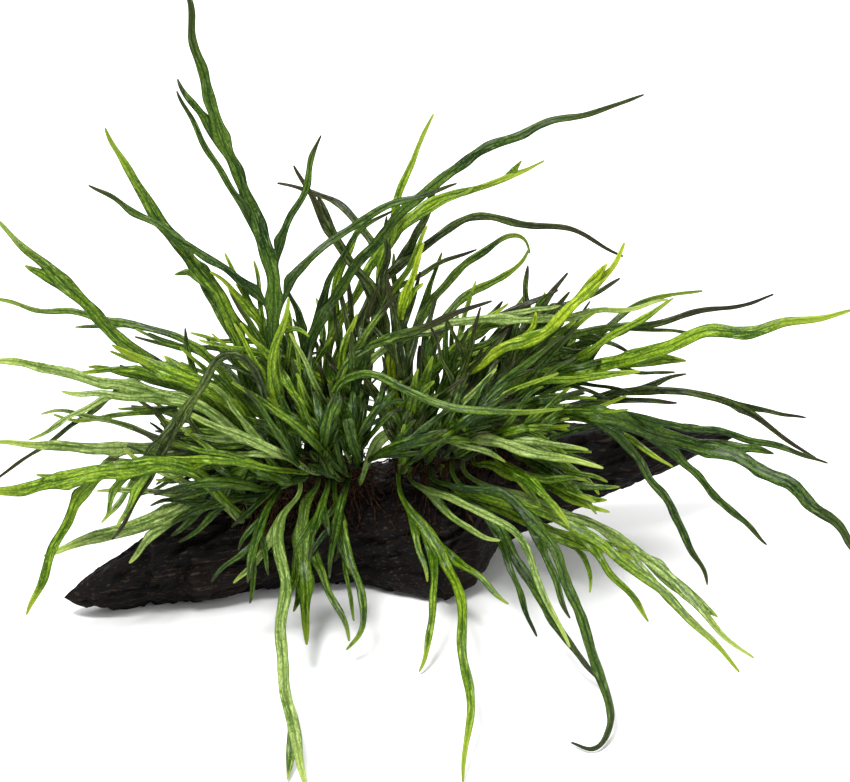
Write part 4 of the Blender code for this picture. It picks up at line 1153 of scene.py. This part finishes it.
class BladeMesh:
    def __init__(self):
        self.bm = bmesh.new()
        self.mm = self.bm.loops.layers.uv.new("blade_mm")
        self.share = self.bm.loops.layers.uv.new("blade_share")

    def point(self, p):
        return self.bm.verts.new(tuple(p * MM))

    def strip(self, rows, layout):
        """Faces between rows of points; layout gives each point's two pattern coordinates."""
        for i in range(len(rows) - 1):
            for k in range(len(rows[i]) - 1):
                corners = [(i, k), (i, k + 1), (i + 1, k + 1), (i + 1, k)]
                face = self.bm.faces.new([rows[a][b] for a, b in corners])
                for loop, (a, b) in zip(face.loops, corners):
                    loop[self.mm].uv = layout[a][b][0]
                    loop[self.share].uv = layout[a][b][1]


def lay_pattern(shares, halves, length, columns, shift):
    rows = []
    for t, h in zip(shares, halves):
        rows.append([((c * h, t * length + shift), (t, abs(c))) for c in columns])
    return rows


def fold_height(c, h, petiole_here):
    """Sunk midrib, swollen halves and slightly dropped edges."""
    swell = 0.16 * h * (1 - (2 * abs(c) - 1) ** 2)
    return swell - FOLD_DROP * h * abs(c) ** 2 + 0.35 * petiole_here * (1 - abs(c))


def run_length(strand, facing):
    """Length of a run, in mm: as it lies on the sheet, or in space where it runs straight back."""
    if facing is FACING:
        return (len(strand["points"]) - 1) * SAMPLE_STEP
    steps = np.diff(on_sheet(strand, np.linspace(0, 1, 40)), axis=0)
    return float(np.linalg.norm(steps, axis=1).sum())


def add_main(blade, strand, lobes, waves, shift, facing):
    length = run_length(strand, facing)
    marks = []
    for lobe in lobes:
        reach = FOOT_REACH * lobe["width"] / length
        marks += [lobe["share"] - reach, lobe["share"], lobe["share"] + reach]
    plain = np.linspace(0, 1, max(6, int(round(length / STATION)) + 1))
    plain = [t for t in plain if all(abs(t - m) > 1.3 / length for m in marks) or t in (0.0, 1.0)]
    shares = np.array(sorted(set(list(plain) + marks)))
    world = on_sheet(strand, shares)
    slow, sway = waves.make(60, 34), waves.make(38, 17)
    wide, face = directions(world, lambda s: MAIN_TWIST * slow(s), facing)
    held = [min(abs(t - lobe["share"]) * length / 6 for lobe in lobes) if lobes else 1.0 for t in shares]
    sways = [WANDER * sway(t * length) * min(1.0, t * 6, h) for t, h in zip(shares, held)]
    world = world + wide * np.array(sways)[:, None]
    left, right, breath = waves.make(13, 6), waves.make(13, 6), waves.make(16, 6)
    rows, halves = [], []
    for t, p, w, n in zip(shares, world, wide, face):
        s = t * length
        thin = float(np.clip((0.30 - t) / 0.25, 0, 1))
        hub = sum(fading(((t - lobe["share"]) * length / HUB_REACH) ** 2) for lobe in lobes)
        h = ribbon_half(t, strand["width"], True) * (1 + BREATHE * breath(s) * (1 - thin))
        h = h * (1 + HUB * min(1.0, hub))
        row = []
        for c in COLUMNS:
            side = left if c < 0 else right
            wave = EDGE_WAVE * side(s) * c * c * min(1.0, h / 1.4) * (1 - thin)
            row.append(blade.point(p + w * h * c + n * (fold_height(c, h, thin) + wave)))
        rows.append(row)
        halves.append(h)
    blade.strip(rows, lay_pattern(shares, halves, length, COLUMNS, shift))
    return shares, rows, world, wide, halves


def right_handed(wide, world, k):
    run = world[min(k + 1, len(world) - 1)] - world[max(k - 1, 0)]
    toward = np.array([0.0, -cos(radians(LEAN)), sin(radians(LEAN))])
    return float(np.dot(np.cross(run, toward), wide)) > 0


def add_lobe(blade, main, lobe, waves, shift, facing):
    shares, rows, world, wide, halves = main
    k = int(np.argmin(np.abs(shares - lobe["share"])))
    to_right = lobe["side"] < 0
    edge = -1 if to_right == right_handed(wide[k], world, k) else 0
    foot = [rows[k - 1][edge], rows[k][edge], rows[k + 1][edge]]
    length = run_length(lobe, facing)
    leave = min(0.4, (halves[k] * 1.9 + 1.0) / length)
    count = max(4, int(round(length * (1 - leave) / STATION)) + 1)
    lobe_shares = np.linspace(leave, 1, count)
    lobe_world = on_sheet(lobe, lobe_shares)
    slow, sway = waves.make(40, 22), waves.make(30, 14)
    lobe_wide, face = directions(lobe_world, lambda s: LOBE_TWIST * slow(s) * min(1.0, s / 12), facing)
    sways = [WANDER * sway(t * length) * min(1.0, (t - leave) * length / 9) for t in lobe_shares]
    lobe_world = lobe_world + lobe_wide * np.array(sways)[:, None]
    if np.dot(lobe_wide[0], np.array(foot[2].co) - np.array(foot[0].co)) < 0:
        lobe_wide = -lobe_wide
    left, right, breath = waves.make(12, 6), waves.make(12, 6), waves.make(15, 7)
    lobe_rows = [foot]
    lobe_halves = [FOOT_REACH * lobe["width"]]
    for t, p, w, n in zip(lobe_shares, lobe_world, lobe_wide, face):
        s = t * length
        web = FLARE * fading((s - leave * length) / FLARE_RUN)
        h = ribbon_half(t, lobe["width"], False) * (1 + BREATHE * breath(s) + web)
        wave = [LOBE_WAVE * left(s), -FOLD_DROP * h, LOBE_WAVE * right(s)]
        lobe_rows.append([blade.point(p + w * h * c + n * v * min(1.0, h / 1.2))
                          for v, c in zip(wave, LOBE_COLUMNS)])
        lobe_halves.append(h)
    all_shares = np.concatenate([[0.0], lobe_shares])
    blade.strip(lobe_rows, lay_pattern(all_shares, lobe_halves, length, LOBE_COLUMNS, shift))


print("blade points across:", len(COLUMNS))

# %% One object for each frond
def thicken(piece):
    body = piece.modifiers.new("body", "SOLIDIFY")
    body.thickness = BLADE_THICK * MM
    body.offset = 0.0
    rounding = piece.modifiers.new("rounding", "SUBSURF")
    rounding.levels = 1
    rounding.render_levels = 1


def fill_blade(blade, frond, seed):
    waves = Waves(seed)
    shift = float(waves.random.uniform(0, 400))
    strand, lobes = frond["strands"][0], frond["strands"][1:]
    facing = FACING_UP if frond["tip_out"] < RUNS_BACK else FACING
    main = add_main(blade, strand, lobes, waves, shift, facing)
    for n, lobe in enumerate(lobes):
        add_lobe(blade, main, lobe, waves, shift + 57 * (n + 1), facing)


def make_fronds():
    for number, frond in enumerate(fronds, 1):
        blade = BladeMesh()
        fill_blade(blade, frond, number)
        node = "frond_%02d_%s" % (number, frond["name"])
        name = "blade_%02d_%s" % (number, frond["name"])
        thicken(finish_piece(name, blade.bm, skins[frond["tone"]], "frond_" + frond["tone"], node))
    print("large blades:", len(fronds))


make_fronds()

# %% [markdown]
# ## Joining the young fronds
# More than a hundred small objects would only clutter the file, so the young fronds are joined by tone: one
# object for each skin, still as real meshes and not as instances.

# %% Young blades by tone
FIRST_YOUNG_SEED = 500


def make_young_blades():
    for tone in sorted({f["tone"] for f in young}):
        blade = BladeMesh()
        for number, frond in enumerate(young):
            if frond["tone"] == tone:
                fill_blade(blade, frond, FIRST_YOUNG_SEED + number)
        thicken(finish_piece("young_blades_" + tone, blade.bm, skins[tone], "frond_" + tone))
    print("young blades:", len(young))


make_young_blades()

# %% [markdown]
# ## Roots
# Java fern roots are wiry, dark brown and covered in fine hair. They hang from the rhizome, feel their way
# down and grip the wood. Each is a thin tapered tube that wanders at random between the rhizome and the
# wood's surface. The few thick ones stand for the solids, and each run's hair is joined into one object.

# %% Root finish
def root_finish():
    material, tree, shader = new_material("root_hair", 0.9)
    shader.inputs["Specular IOR Level"].default_value = 0.08
    mottle = clouds(tree, object_place(tree), Scale=700.0, Detail=3.0)
    body = two_tone(tree, mottle, 0.4, 0.65, (0.010, 0.005, 0.003), (0.060, 0.028, 0.014))
    finish_surface(tree, shader, body, mottle, 0.6, 0.0002)
    return material


root_material = root_finish()
print("root finish ready")

# %% Thick roots
# where each starts and ends along the wood, and its last angle round it; all start at ROOT_ANGLE
ROOTS = [(-56, -63, 8), (-38, -32, 2), (4, 10, 14)]
ROOT_ANGLE = 52
ROOT_LIFT = 1.6
ROOT_RADIUS = 0.7
ROOT_POINTS = 36
ROOT_SIDES = 10


def make_thick_roots():
    for n, (start, end, last) in enumerate(ROOTS, 1):
        steps = np.linspace(0, 1, ROOT_POINTS)
        line = [wood_point(start + (end - start) * t, ROOT_ANGLE + (last - ROOT_ANGLE) * t, ROOT_LIFT)
                for t in steps]
        radii = [ROOT_RADIUS * (1 - 0.55 * t) for t in steps]

        def knot(row, a):
            return 0.35 * noise.noise(Vector((row * 0.6, a, n * 3.0)))

        bm = bmesh.new()
        loft(bm, tube_rings(line, radii, ROOT_SIDES, knot))
        finish_piece("thick_root_%02d" % n, bm, root_material, "roots", "root_%02d" % n)
    print("thick roots:", len(ROOTS))


make_thick_roots()

# %% Root hair
# run: how many hairs cling to the wood, how many stand loose round the rhizome
HAIRS = {"left": (260, 240), "right": (150, 130), "spur": (90, 80)}
HAIR_POINTS = 9
HAIR_SIDES = 5
HAIR_THICK = (0.12, 0.32)
HAIR_SEED = 21


def clinging_hair(run, random):
    """From the rhizome down to a grip on the wood, bowed aside by a random drift."""
    centre = at_share(rhizome_line(run), random.uniform(0.02, 0.98))
    angle = radians(random.uniform(-110, 40))
    start = centre + np.array([0, -cos(angle), sin(angle)]) * RHIZOME_RADIUS * 0.8
    x_end = centre[0] + random.normal(0, 7)
    grip = wood_point(x_end, random.uniform(5, 115), 0.6)
    drift = random.normal(0, 2.4, 3)
    line = []
    for t in np.linspace(0, 1, HAIR_POINTS):
        shake = random.normal(0, 0.5, 3)
        line.append(start * (1 - t) + grip * t + (drift + shake) * sin(pi * t))
    return line


def loose_hair(run, random):
    """A short curly hair that stands off the rhizome."""
    centre = at_share(rhizome_line(run), random.uniform(0.0, 1.0))
    angle = radians(random.uniform(-70, 110))
    away = np.array([random.normal(0, 0.5), -cos(angle), sin(angle)])
    here = centre + away * RHIZOME_RADIUS * 0.6
    step = random.uniform(0.9, 2.1)
    line = [here]
    for _ in range(HAIR_POINTS - 1):
        away = away + random.normal(0, 0.38, 3)
        away = away / np.linalg.norm(away)
        here = here + away * step
        line.append(here)
    return line


def make_root_hair():
    random = np.random.default_rng(HAIR_SEED)
    for run, (clinging, loose) in HAIRS.items():
        bm = bmesh.new()
        for n in range(clinging + loose):
            line = clinging_hair(run, random) if n < clinging else loose_hair(run, random)
            thick = random.uniform(*HAIR_THICK)
            radii = [thick * (1 - 0.6 * t) for t in np.linspace(0, 1, len(line))]
            loft(bm, tube_rings(line, radii, HAIR_SIDES))
        piece = finish_piece("root_hair_" + run, bm, root_material, "roots")
        print(piece.name, "faces:", len(piece.data.polygons))


make_root_hair()

# %% [markdown]
# ## Measuring the result
# The dressed plant must keep the size of its frame. Here the triangles of every piece that renders are
# counted, and the total and the largest piece are printed.

# %% Triangles
def triangles(piece, graph):
    mesh = piece.evaluated_get(graph).to_mesh()
    return sum(len(face.vertices) - 2 for face in mesh.polygons)


def count_triangles():
    graph = bpy.context.evaluated_depsgraph_get()
    pieces = [thing for thing in bpy.data.objects if thing.type == "MESH" and not thing.hide_render]
    counts = {piece.name: triangles(piece, graph) for piece in pieces}
    largest = max(counts, key=counts.get)
    print("triangles:", sum(counts.values()), "largest:", largest, counts[largest])


count_triangles()
